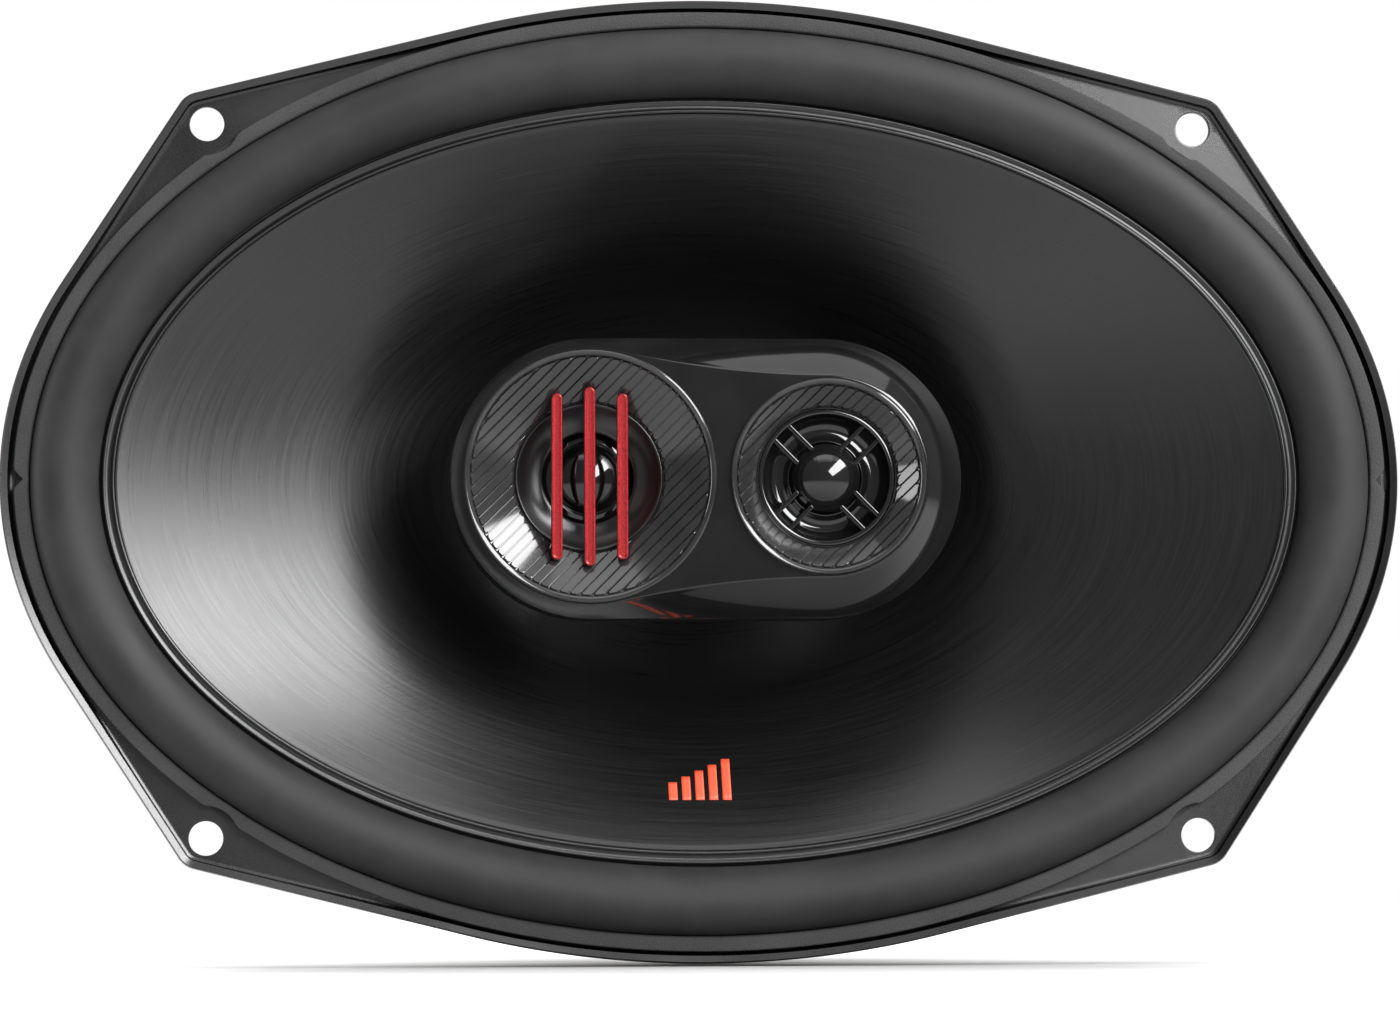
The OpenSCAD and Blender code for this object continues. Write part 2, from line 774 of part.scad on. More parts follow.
// Bowl between the ribbed bezel and the dome
module tweeter_horn() {
  color(plastic_black) on_tweeter_axis() rotate_extrude() polygon([
    [7.7, 6.7], [7.7, 7.3], [8, 7.5], [9, 7.6], [10, 7.9], [11, 8.5], [11.8, 9.2], [12.3, 9.8],
    [12.3, 8.3], [11.8, 7.8], [11.8, cup_rim_z], [10.2, cup_rim_z], [10.2, 6.7]
  ]);
}

// Funnel with a rounded rim that rests on the front of the bridge
module bezel(throat_r, mouth_r, throat_z, back_r) {
  rim = bridge_front;
  rotate_extrude() polygon([
    [throat_r, throat_z], [mouth_r - 0.9, rim + 0.7], [mouth_r - 0.5, rim + 1], [mouth_r - 0.2, rim + 0.9],
    [mouth_r, rim + 0.6], [mouth_r, rim], [back_r, rim], [back_r, rim - 0.9],
    [throat_r + 0.6, throat_z - 1.2], [throat_r, throat_z - 1.2]
  ]);
}

module tweeter_bezel() {
  color([0.12, 0.12, 0.13]) on_tweeter_axis() bezel(tweeter_throat_r, 21.2, 9.5, 20.4);
}

// Three slim upright bars in front of the dome
module tweeter_guard() {
  bar_w = 1.9;
  reach = 15;
  color(guard_red) on_tweeter_axis() for (x = [-5.5, 0, 5.5])
    translate([x - bar_w / 2, -sqrt(reach ^ 2 - x ^ 2), 11])
      cube([bar_w, 2 * sqrt(reach ^ 2 - x ^ 2), 1.4]);
}

module supertweeter_cup() {
  color("silver") on_super_axis() cup(9.6, 6.4);
}

module supertweeter_magnet() {
  color("gray") on_super_axis() disc(4.5, floor_top_z + cup_t, gap_plate_z);
}

module supertweeter_pole_plate() {
  color("silver") on_super_axis() disc(5.1, gap_plate_z, cup_rim_z - 0.2);
}

module supertweeter_coil() {
  color([0.75, 0.4, 0.2]) on_super_axis() ring(6, 5.4, 0.2, dome_edge_z);
}

module supertweeter_diaphragm() {
  color([0.2, 0.2, 0.22]) on_super_axis() dome(5, 1.8, 7.6, 8.4);
}

module supertweeter_bezel() {
  color([0.12, 0.12, 0.13]) on_super_axis() bezel(super_throat_r, 16.5, 10.6, 15.7);
}

// Collar, four pairs of spokes and a round plug in front of the dome
module supertweeter_guard() {
  plug_r = 5.85;
  plug_h = 3.6;
  sphere_r = (plug_r ^ 2 + plug_h ^ 2) / (2 * plug_h);
  half_angle = asin(plug_r / sphere_r);
  color(plastic_black) on_super_axis() {
    rotate_extrude() polygon([
      [8.9, cup_rim_z], [11.5, cup_rim_z], [11.5, 10.3], [10.7, 10.3], [10.6, 9.2], [10.2, 8.1],
      [9.5, 7.2], [8.6, 6.85], [8, 6.8], [7.2, 7], [6.5, 7.5], [6.25, 7.8], [6.05, 7.5], [6.5, 6.9],
      [7.2, 6.5], [8, 6.35], [8.9, 6.35]
    ]);
    rotate_extrude() polygon(concat(
      [[0, 8.4], [plug_r, 8.4]],
      [for (s = steps(10))
        let (angle = half_angle * (1 - s))
        [sphere_r * sin(angle), 8.8 + plug_h - sphere_r * (1 - cos(angle))]]
    ));
    for (i = [0:3], side = [-1, 1])
      rotate([0, 0, 45 + 90 * i]) translate([5, side * 1.7 - 0.4, 8.6]) cube([6, 0.8, 1.2]);
  }
}

// ---------- drawing ----------

basket();
front_gasket();
top_plate();
plate_rivets();
magnet();
back_plate();
pole();
cone();
surround();
spider();
coil_former();
voice_coil();
dust_ring();
lead_eyelets();
terminal_board();
terminal_positive();
terminal_negative();
terminal_rivets();
tinsel_lead_positive();
tinsel_lead_negative();
feed_lead_positive();
feed_lead_negative();
bridge_post();
post_sleeve();
post_washer();
post_nut();
bridge_housing();
bridge_fascia();
bridge_screws();
tweeter_capacitor();
supertweeter_capacitor();
tweeter_cup();
tweeter_magnet();
tweeter_pole_plate();
tweeter_coil();
tweeter_diaphragm();
tweeter_horn();
tweeter_bezel();
tweeter_guard();
supertweeter_cup();
supertweeter_magnet();
supertweeter_pole_plate();
supertweeter_coil();
supertweeter_diaphragm();
supertweeter_bezel();
supertweeter_guard();
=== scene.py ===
import json
import math
import bmesh
import bpy
from mathutils import Matrix, Vector
from mathutils.geometry import convex_hull_2d

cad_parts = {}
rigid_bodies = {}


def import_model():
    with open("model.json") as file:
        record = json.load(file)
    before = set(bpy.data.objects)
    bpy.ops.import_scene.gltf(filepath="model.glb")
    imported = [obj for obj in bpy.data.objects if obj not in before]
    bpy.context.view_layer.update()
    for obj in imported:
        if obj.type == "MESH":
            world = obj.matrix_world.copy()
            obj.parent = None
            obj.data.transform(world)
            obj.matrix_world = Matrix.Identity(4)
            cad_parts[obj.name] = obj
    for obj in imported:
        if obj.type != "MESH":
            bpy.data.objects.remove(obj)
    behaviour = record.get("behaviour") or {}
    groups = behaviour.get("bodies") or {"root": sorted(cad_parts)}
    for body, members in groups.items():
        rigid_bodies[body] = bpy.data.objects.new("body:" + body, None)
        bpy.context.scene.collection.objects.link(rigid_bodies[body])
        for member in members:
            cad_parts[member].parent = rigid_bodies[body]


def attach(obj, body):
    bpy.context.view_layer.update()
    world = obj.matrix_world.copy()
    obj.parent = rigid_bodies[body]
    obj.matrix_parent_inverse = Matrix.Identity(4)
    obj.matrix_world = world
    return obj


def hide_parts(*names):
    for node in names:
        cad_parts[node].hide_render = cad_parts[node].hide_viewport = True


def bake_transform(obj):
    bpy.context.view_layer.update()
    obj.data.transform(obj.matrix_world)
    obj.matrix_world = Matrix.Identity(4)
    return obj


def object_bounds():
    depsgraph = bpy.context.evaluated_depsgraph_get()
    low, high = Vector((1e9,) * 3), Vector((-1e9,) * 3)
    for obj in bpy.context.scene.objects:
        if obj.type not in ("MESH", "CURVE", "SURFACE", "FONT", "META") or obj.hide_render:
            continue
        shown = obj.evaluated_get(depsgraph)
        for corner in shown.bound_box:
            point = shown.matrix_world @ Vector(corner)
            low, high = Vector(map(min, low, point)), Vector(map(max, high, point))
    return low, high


# Oval coaxial car speaker. Every shape is drawn in mm with x to the right, y up and z towards the
# listener, and place() turns it into the shared frame in metres.

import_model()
cad_low, cad_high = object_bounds()

MM = 0.001
RIM_A = 101.7
RIM_B = 65.0
FLANGE_A = 118.6
FLANGE_B = 81.6
HOLE_X = 84.0
HOLE_Y = 60.25
EAR_X = 85.025
EAR_Y = 61.275
EAR_R = 4.25
SHEET_Z = 0.6          # the middle of the flange's sheet
WALL_TOP_Z = -9.8
WALL_FOOT_R = 59.5
WALL_FOOT_Z = -38.6
CAN_TOP_R = 49.1
CAN_TOP_Z = -41.8
CAN_FOOT_R = 43.0
CAN_FOOT_Z = -52.6
VENT_R = 3.8
TWEETER_X = -20.0
SUPER_X = 20.0
FRONT_Z = 13.5


# ---------- points and nets ----------

def place(point):
    """A point of the drawing, in mm, as metres in the shared frame."""
    x, y, z = point
    return Vector((x * MM, -z * MM, y * MM))


def mix(a, b, share):
    return a + (b - a) * share


def smooth(share):
    share = min(max(share, 0.0), 1.0)
    return share * share * (3 - 2 * share)


def circle(x, y, radius, parts):
    """Points round a full circle."""
    return [(x + radius * math.cos(a), y + radius * math.sin(a)) for a in turns(parts)]


def spaced(low, high, parts):
    return [low + (high - low) * i / parts for i in range(parts + 1)]


def rounded(profile, radius, parts=3):
    """A closed profile with its corners rounded off. Points on the axis stay."""
    done = []
    count = len(profile)
    for i, corner in enumerate(profile):
        here = Vector(corner)
        before = Vector(profile[i - 1]) - here
        after = Vector(profile[(i + 1) % count]) - here
        turn = before.angle(-after) if before.length > 1e-6 and after.length > 1e-6 else 0
        if turn < 0.3 or corner[0] < 1e-6:
            done.append(tuple(corner))
            continue
        start = here + before.normalized() * min(radius, 0.45 * before.length)
        end = here + after.normalized() * min(radius, 0.45 * after.length)
        for k in range(parts + 1):
            t = k / parts
            done.append(tuple(start * (1 - t) ** 2 + here * 2 * t * (1 - t) + end * t * t))
    return done


class Shape:
    """The points and faces of one piece, in the drawing's mm."""

    def __init__(self):
        self.points = []
        self.faces = []

    def net(self, rows, close_rows=False, close_points=True):
        """Joins rows of points into four-sided faces."""
        base = len(self.points)
        width = len(rows[0])
        for row in rows:
            self.points.extend(tuple(p) for p in row)
        for j in range(len(rows) if close_rows else len(rows) - 1):
            low = base + j * width
            high = base + (j + 1) % len(rows) * width
            for i in range(width if close_points else width - 1):
                k = (i + 1) % width
                self.faces.append((low + i, low + k, high + k, high + i))

    def lathe(self, profile, where=None, sides=96):
        """Turns a profile of (radius, height) round an axis, by default the drawing's z axis."""
        where = where or Matrix.Identity(4)
        rows = []
        for a in turns(sides):
            c, s = math.cos(a), math.sin(a)
            rows.append([where @ Vector((r * c, r * s, z)) for r, z in profile])
        self.net(rows, close_rows=True)

    def cap(self, row):
        base = len(self.points)
        self.points.extend(tuple(p) for p in row)
        self.faces.append(tuple(range(base, base + len(row))))

    def solid(self, rows):
        """Joins rows of points and closes the first and the last row."""
        self.net(rows)
        self.cap(rows[0])
        self.cap(rows[-1])

    def prism(self, outline, low, high, edge=0.2, where=None, parts=2):
        """An outline raised from low to high, with rounded edges and flat ends."""
        where = where or Matrix.Identity(4)
        levels = []
        for k in range(parts + 1):
            a = math.pi / 2 * k / parts
            levels.append((edge * (1 - math.sin(a)), low + edge * (1 - math.cos(a))))
        for k in range(parts + 1):
            a = math.pi / 2 * k / parts
            levels.append((edge * (1 - math.cos(a)), high - edge * (1 - math.sin(a))))
        self.solid([[where @ Vector(point) for point in row] for row in stack(outline, levels)])

    def tube(self, path, radius, sides=12):
        """A round tube along a path, with closed ends."""
        nets = []
        for centre, across, up in sweep_frames(path):
            nets.append([centre + radius * (math.cos(a) * across + math.sin(a) * up) for a in turns(sides)])
        self.solid(nets)


def sweep_frames(path):
    """A centre and two directions across the path at each of its points, with no twist between them."""
    points = [Vector(p) for p in path]
    frames = []
    up = Vector((0.13, 0.21, 0.97))
    for i, here in enumerate(points):
        ahead = (points[min(i + 1, len(points) - 1)] - points[max(i - 1, 0)]).normalized()
        across = ahead.cross(up).normalized()
        up = across.cross(ahead).normalized()
        frames.append((here, across, up))
    return frames


def turns(sides):
    """Angles round a full circle."""
    return [2 * math.pi * i / sides for i in range(sides)]


def inset(outline, distance):
    """An outline moved inwards. It runs anticlockwise."""
    moved = []
    count = len(outline)
    for i, here in enumerate(outline):
        before = Vector(here) - Vector(outline[i - 1])
        after = Vector(outline[(i + 1) % count]) - Vector(here)
        n0 = Vector((-before.y, before.x)).normalized()
        n1 = Vector((-after.y, after.x)).normalized()
        n = n0 + n1
        n = n / max(n.length_squared / 2, 0.35)
        moved.append((here[0] + n.x * distance, here[1] + n.y * distance))
    return moved


def stack(outline, levels):
    """The outline at every (inset, height) of levels."""
    return [[(x, y, z) for x, y in inset(outline, d)] for d, z in levels]


def wall(near, far, low, high):
    """The section of a plain ring."""
    return [(near, low), (far, low), (far, high), (near, high)]


def box_outline(x0, y0, x1, y1, corner=0.0, parts=3):
    if corner <= 0:
        return [(x0, y0), (x1, y0), (x1, y1), (x0, y1)]
    spots = [(x1 - corner, y0 + corner, -90), (x1 - corner, y1 - corner, 0),
             (x0 + corner, y1 - corner, 90), (x0 + corner, y0 + corner, 180)]
    outline = []
    for cx, cy, start in spots:
        for k in range(parts + 1):
            a = math.radians(start + 90 * k / parts)
            outline.append((cx + corner * math.cos(a), cy + corner * math.sin(a)))
    return outline


def route(points, parts):
    """A smooth curve through points."""
    p = [Vector(q) for q in points]
    line = []
    for i in range(len(p) - 1):
        before, after = p[max(i - 1, 0)], p[min(i + 2, len(p) - 1)]
        for k in range(parts):
            t = k / parts
            line.append(0.5 * (2 * p[i] + (p[i + 1] - before) * t
                               + (2 * before - 5 * p[i] + 4 * p[i + 1] - after) * t ** 2
                               + (3 * p[i] - before - 3 * p[i + 1] + after) * t ** 3))
    line.append(p[-1])
    return line


def oval(out, t, z=0.0):
    """The point at angle t on the oval that lies a distance outside the cone's rim."""
    return ((RIM_A + out) * math.cos(t), (RIM_B + out) * math.sin(t), z)


# ---------- pieces ----------

def piece(name, shape, finish, nodes=(), body="frame", thick=0.0, bevel=0.0, weighted=True, weld=0.002):
    """Makes the object of a shape, gives it its finish and lets it ride on its body."""
    slot, material = FINISHES[finish]
    mesh = bpy.data.meshes.new(name)
    mesh.from_pydata([place(p) for p in shape.points], [], shape.faces)
    work = bmesh.new()
    work.from_mesh(mesh)
    bmesh.ops.remove_doubles(work, verts=work.verts, dist=weld * MM)
    bmesh.ops.dissolve_degenerate(work, edges=work.edges, dist=1e-7)
    bmesh.ops.recalc_face_normals(work, faces=work.faces)
    for face in work.faces:
        face.smooth = True
    work.to_mesh(mesh)
    work.free()
    made = bpy.data.objects.new(name, mesh)
    bpy.context.scene.collection.objects.link(made)
    made.data.materials.append(material)
    if thick:
        solid = made.modifiers.new("thickness", "SOLIDIFY")
        solid.thickness = thick * MM
        solid.offset = 0
        solid.use_even_offset = True
        solid.use_quality_normals = True
    if bevel:
        edge = made.modifiers.new("edges", "BEVEL")
        edge.width = bevel * MM
        edge.segments = 3
        edge.limit_method = "ANGLE"
        edge.angle_limit = math.radians(40)
        edge.harden_normals = False
    if weighted:
        normals = made.modifiers.new("normals", "WEIGHTED_NORMAL")
        normals.weight = 80
    if nodes:
        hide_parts(*nodes)
    if body:
        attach(made, body)
    return made


def lathed(name, profile, finish, nodes, body="frame", edge=0.0, corner_parts=3, where=None, sides=96):
    """A piece that is one profile turned round, with its corners rounded."""
    shape = Shape()
    shape.lathe(rounded(profile, edge, corner_parts), where, sides)
    piece(name, shape, finish, nodes, body)


# ---------- finishes ----------

class Nodes:
    """A material with the few node patterns that the finishes share."""

    def __init__(self, name):
        self.material = bpy.data.materials.new(name)
        self.material.use_nodes = True
        self.tree = self.material.node_tree
        self.shader = self.tree.nodes["Principled BSDF"]
        self.points = self.tree.nodes.new("ShaderNodeTexCoord").outputs["Object"]

    def set(self, **values):
        for key, value in values.items():
            self.shader.inputs[key.replace("_", " ")].default_value = value

    def link(self, out, socket):
        self.tree.links.new(out, self.shader.inputs[socket])

    def colour(self, value, low, high, dark, light):
        self.link(self.tint(self.span(value, low, high, 0, 1), dark, light), "Base Color")

    def rough(self, value, low, high, smoothest, roughest):
        self.link(self.span(value, low, high, smoothest, roughest), "Roughness")

    def blend(self, one, share, other):
        """A mix of two patterns, with the given share of the first."""
        return self.math("MULTIPLY_ADD", one, share, self.math("MULTIPLY", other, 1 - share))

    def reach(self, a, b):
        """The distance from the middle, from two of the axes."""
        return self.math("SQRT", self.math("ADD", self.math("MULTIPLY", a, a), self.math("MULTIPLY", b, b)))

    def math(self, kind, a, b=None, c=None):
        node = self.tree.nodes.new("ShaderNodeMath")
        node.operation = kind
        for socket, value in zip(node.inputs, (a, b, c)):
            if value is None:
                continue
            if isinstance(value, (int, float)):
                socket.default_value = value
            else:
                self.tree.links.new(value, socket)
        return node.outputs[0]

    def axes(self, source=None):
        node = self.tree.nodes.new("ShaderNodeSeparateXYZ")
        self.tree.links.new(source or self.points, node.inputs[0])
        return node.outputs

    def joined(self, x, y, z):
        node = self.tree.nodes.new("ShaderNodeCombineXYZ")
        for socket, value in zip(node.inputs, (x, y, z)):
            if isinstance(value, (int, float)):
                socket.default_value = value
            else:
                self.tree.links.new(value, socket)
        return node.outputs[0]

    def noise(self, per_mm, detail=3.0, rough=0.55, source=None):
        node = self.tree.nodes.new("ShaderNodeTexNoise")
        node.inputs["Scale"].default_value = per_mm / MM
        node.inputs["Detail"].default_value = detail
        node.inputs["Roughness"].default_value = rough
        self.tree.links.new(source or self.points, node.inputs["Vector"])
        return node.outputs[0]

    def span(self, value, low, high, out_low, out_high):
        node = self.tree.nodes.new("ShaderNodeMapRange")
        self.tree.links.new(value, node.inputs[0])
        for socket, number in zip(list(node.inputs)[1:5], (low, high, out_low, out_high)):
            socket.default_value = number
        return node.outputs[0]

    def tint(self, factor, dark, light):
        node = self.tree.nodes.new("ShaderNodeMix")
        node.data_type = "RGBA"
        self.tree.links.new(factor, node.inputs[0])
        node.inputs[6].default_value = (*dark, 1)
        node.inputs[7].default_value = (*light, 1)
        return node.outputs[2]

    def bump(self, height, depth_mm, strength=1.0, below=None):
        node = self.tree.nodes.new("ShaderNodeBump")
        node.inputs["Distance"].default_value = depth_mm * MM
        node.inputs["Strength"].default_value = strength
        self.tree.links.new(height, node.inputs["Height"])
        if below is not None:
            self.tree.links.new(below, node.inputs["Normal"])
        return node.outputs[0]


def grained(name, dark, light, rough, grain, depth, spread=0.08, metal=0.0, coat=0.0, coat_rough=0.1,
            specular=0.5):
    """A finish whose colour and roughness drift a little, over a fine grain."""
    n = Nodes(name)
    n.set(Metallic=metal, Coat_Weight=coat, Coat_Roughness=coat_rough, Specular_IOR_Level=specular)
    fine = n.noise(grain, 4)
    wide = n.noise(0.06, 3)
    blend = n.blend(fine, 0.5, wide)
    n.colour(blend, 0.35, 0.65, dark, light)
    n.rough(blend, 0.3, 0.7, rough - spread, rough + spread)
    n.link(n.bump(fine, depth), "Normal")
    return n.material


def turned(name, dark, light, rough, rings=3.0):
    """Metal with fine rings round the motor's axis, as a lathe leaves them."""
    n = Nodes(name)
    n.set(Metallic=1.0)
    x, y, z = n.axes()
    reach = n.reach(x, z)
    lines = n.noise(rings, 2, source=n.joined(reach, y, 0.0))
    drift = n.noise(0.12, 4)
    n.colour(drift, 0.35, 0.65, dark, light)
    n.rough(drift, 0.3, 0.7, rough - 0.08, rough + 0.1)
    n.link(n.bump(lines, 0.004, 0.6, n.bump(n.noise(2.2, 3), 0.003)), "Normal")
    return n.material


def make_cone_finish():
    n = Nodes("cone_turned_plastic")
    n.set(Anisotropic=0.4, Anisotropic_Rotation=0.0, Specular_IOR_Level=0.5)
    x, _, z = n.axes()
    across = n.math("DIVIDE", x, RIM_A * MM)
    rise = n.math("DIVIDE", z, RIM_B * MM)
    reach = n.reach(across, rise)
    ring = n.math("MULTIPLY", reach, RIM_A * MM)
    arcs = n.joined(ring, n.math("MULTIPLY", x, 0.02), n.math("MULTIPLY", z, 0.02))
    fine = n.noise(2.6, 5, 0.7, arcs)
    broad = n.noise(0.5, 3, 0.6, arcs)
    drift = n.noise(0.02, 2)
    n.colour(fine, 0.3, 0.7, (0.0012, 0.0012, 0.0013), (0.003, 0.003, 0.0032))
    n.rough(n.blend(fine, 0.6, drift), 0.3, 0.7, 0.24, 0.36)
    lines = n.bump(broad, 0.05, 0.5, n.bump(fine, 0.02, 0.6))
    n.link(lines, "Normal")
    tangent = n.tree.nodes.new("ShaderNodeTangent")
    tangent.direction_type = "RADIAL"
    tangent.axis = "Y"
    n.link(tangent.outputs[0], "Tangent")
    return n.material


def make_rubber_finish():
    n = Nodes("surround_rubber")
    n.set(Specular_IOR_Level=0.18)
    fine = n.noise(5.0, 4, 0.6)
    cloudy = n.noise(0.09, 3, 0.6)
    n.colour(cloudy, 0.35, 0.65, (0.014, 0.014, 0.0142), (0.019, 0.019, 0.0192))
    n.rough(n.blend(fine, 0.4, cloudy), 0.35, 0.65, 0.5, 0.64)
    n.link(n.bump(fine, 0.02, 0.8, n.bump(n.noise(0.7, 2), 0.02, 0.5)), "Normal")
    return n.material


def make_weave_finish(name, dark, light, threads, depth, rough=0.8, round_axis=True):
    """Woven cloth or braid: two crossing sets of threads."""
    n = Nodes(name)
    n.set(Specular_IOR_Level=0.3, Sheen_Weight=0.2)
    x, _, z = n.axes()
    turn = 2 * math.pi * threads / MM
    one = n.math("SINE", n.math("MULTIPLY", x, turn))
    two = n.math("SINE", n.math("MULTIPLY", z, turn))
    weave = n.math("MULTIPLY", one, two) if round_axis else n.math("ADD", one, two)
    height = n.span(weave, -1, 1, 0, 1)
    fuzz = n.noise(6.0, 3)
    tone = n.blend(fuzz, 0.5, height)
    n.colour(tone, 0.25, 0.75, dark, light)
    n.rough(fuzz, 0.3, 0.7, rough - 0.1, min(rough + 0.1, 1))
    n.link(n.bump(height, depth, 0.8), "Normal")
    return n.material


def make_braid_finish():
    """Flat copper threads wound both ways round a thin core."""
    n = Nodes("tinsel_braid")
    n.set(Metallic=0.75)
    x, y, z = n.axes()
    a = n.math("SINE", n.math("MULTIPLY", n.math("ADD", n.math("ADD", x, y), z), 2 * math.pi * 1.1 / MM))
    b = n.math("SINE", n.math("MULTIPLY", n.math("ADD", n.math("SUBTRACT", x, y), z), 2 * math.pi * 1.1 / MM))
    height = n.span(n.math("MULTIPLY", a, b), -1, 1, 0, 1)
    n.link(n.tint(height, (0.22, 0.1, 0.04), (0.75, 0.42, 0.22)), "Base Color")
    n.rough(height, 0, 1, 0.5, 0.3)
    n.link(n.bump(height, 0.12, 0.9), "Normal")
    return n.material


def make_winding_finish():
    """Enamelled wire, wound turn by turn along the axis."""
    n = Nodes("copper_winding")
    n.set(Metallic=0.9, Coat_Weight=0.5, Coat_Roughness=0.12)
    _, y, _ = n.axes()
    wires = n.math("SINE", n.math("MULTIPLY", y, 2 * math.pi * 3.0 / MM))
    n.colour(wires, -1, 1, (0.2, 0.06, 0.02), (0.72, 0.3, 0.12))
    n.rough(n.noise(1.5, 3), 0.3, 0.7, 0.22, 0.36)
    n.link(n.bump(n.span(wires, -1, 1, 0, 1), 0.08, 0.8), "Normal")
    return n.material


def make_red_finish():
    """Deep red over fine metal flakes."""
    n = Nodes("guard_red")
    n.set(Metallic=0.35, Coat_Weight=0.25, Coat_Roughness=0.08, Specular_IOR_Level=0.4)
    flakes = n.noise(4.5, 2, 0.8)
    n.colour(flakes, 0.4, 0.62, (0.12, 0.001, 0.002), (0.34, 0.004, 0.008))
    n.rough(flakes, 0.3, 0.7, 0.24, 0.42)
    n.link(n.bump(flakes, 0.03, 0.6), "Normal")
    return n.material


def make_paint_finish():
    """Black stove paint with orange peel."""
    n = Nodes("basket_paint")
    n.set(Coat_Weight=0.15, Coat_Roughness=0.2, Specular_IOR_Level=0.5)
    peel = n.noise(0.9, 3, 0.5)
    grain = n.noise(4.0, 3, 0.6)
    wide = n.noise(0.05, 3)
    n.colour(wide, 0.35, 0.65, (0.0022, 0.0022, 0.0023), (0.004, 0.004, 0.0042))
    n.rough(n.blend(grain, 0.5, wide), 0.35, 0.65, 0.24, 0.38)
    n.link(n.bump(grain, 0.004, 0.5, n.bump(peel, 0.012, 0.6)), "Normal")
    return n.material


def make_gloss_finish(name, colour, rough=0.05, depth=0.002):
    """Moulded gloss plastic with a faint wave and a few fine scuffs."""
    n = Nodes(name)
    n.set(Specular_IOR_Level=0.5)
    wave = n.noise(0.12, 2)
    dust = n.noise(7.0, 4, 0.7)
    light = tuple(c * 1.5 for c in colour)
    n.colour(wave, 0.35, 0.65, colour, light)
    n.rough(dust, 0.45, 0.8, rough, rough + 0.12)
    n.link(n.bump(wave, 0.02, 0.25, n.bump(dust, depth, 0.3)), "Normal")
    return n.material


FINISHES = {
    "paint": ("painted_steel", make_paint_finish()),
    "gasket": ("gasket_board", grained("gasket_board", (0.018, 0.018, 0.018), (0.036, 0.036, 0.036), 0.75,
                                       3.0, 0.1, 0.08, specular=0.25)),
    "zinc": ("plated_steel", turned("zinc_plate", (0.5, 0.5, 0.47), (0.66, 0.65, 0.6), 0.32)),
    "ferrite": ("ferrite", grained("ferrite", (0.03, 0.03, 0.032), (0.06, 0.06, 0.063), 0.55, 2.0, 0.05)),
    "cone": ("cone_plastic", make_cone_finish()),
    "rubber": ("rubber", make_rubber_finish()),
    "spider": ("spider_cloth", make_weave_finish("spider_cloth", (0.26, 0.17, 0.05), (0.52, 0.38, 0.14), 0.9,
                                                 0.12)),
    "paper": ("former_paper", grained("former_paper", (0.3, 0.19, 0.08), (0.45, 0.31, 0.14), 0.7, 2.5, 0.03)),
    "winding": ("copper_wire", make_winding_finish()),
    "felt": ("felt", make_weave_finish("felt", (0.008, 0.008, 0.009), (0.03, 0.03, 0.032), 1.7, 0.1, 0.9)),
    "board": ("terminal_board", grained("phenolic_board", (0.16, 0.09, 0.035), (0.27, 0.16, 0.07), 0.5, 1.2,
                                        0.02, coat=0.2)),
    "tin": ("tinned_brass", turned("tinned_brass", (0.62, 0.6, 0.54), (0.8, 0.78, 0.72), 0.28, 2.0)),
    "braid": ("tinsel_braid", make_braid_finish()),
    "red_pvc": ("lead_red", grained("lead_red", (0.3, 0.012, 0.014), (0.42, 0.02, 0.02), 0.42, 1.5, 0.01)),
    "black_pvc": ("lead_black", grained("lead_black", (0.012, 0.012, 0.012), (0.022, 0.022, 0.022), 0.42, 1.5,
                                        0.01)),
    "gloss": ("bridge_gloss", make_gloss_finish("bridge_gloss", (0.0035, 0.0035, 0.0037))),
    "satin": ("bridge_satin", grained("bridge_satin", (0.0015, 0.0015, 0.0016), (0.0028, 0.0028, 0.003), 0.3,
                                      3.0, 0.008, 0.04)),
    "bezel": ("bezel_chrome", make_gloss_finish("bezel_gloss", (0.012, 0.012, 0.0125), 0.09)),
    "red": ("guard_red", make_red_finish()),
    "film": ("dome_film", make_gloss_finish("dome_film", (0.0025, 0.0025, 0.0027))),
    "dull_film": ("dome_film", grained("supertweeter_film", (0.002, 0.002, 0.002), (0.004, 0.004, 0.004), 0.5,
                                       2.0, 0.004, specular=0.3)),
    "nickel": ("neodymium", turned("nickel_plate", (0.62, 0.61, 0.58), (0.78, 0.77, 0.74), 0.2)),
    "sleeve": ("capacitor_sleeve", make_gloss_finish("capacitor_sleeve", (0.012, 0.05, 0.2), 0.25)),
    "print": ("cone_plastic", grained("cone_print", (0.62, 0.06, 0.025), (0.74, 0.09, 0.04), 0.45, 2.5,
                                      0.01)),
}


# ---------- basket ----------

def flange_angles():
    """Angles round the oval, closer together at the ears, with every break that a window or vent needs."""
    ear = math.degrees(math.atan2(65.5 / FLANGE_B, 89.3 / FLANGE_A))
    quarter = set(round(0.9375 * i, 4) for i in range(97))
    low, high, parts = ear - 5, ear + 5, 34
    quarter = {a for a in quarter if not low < a < high}
    quarter |= {round(low + (high - low) * i / parts, 4) for i in range(parts + 1)}
    quarter |= {0.0, 22.5, 30.0, 45.0, 90.0}
    whole = set()
    for a in quarter:
        whole |= {a, 180 - a, (180 + a) % 360, (360 - a) % 360}
    kept = []
    for a in sorted(round(b, 4) for b in whole):
        if not kept or a - kept[-1] > 0.1 or a % 7.5 == 0:
            if kept and a - kept[-1] <= 0.1:
                kept.pop()
            kept.append(a)
    return kept


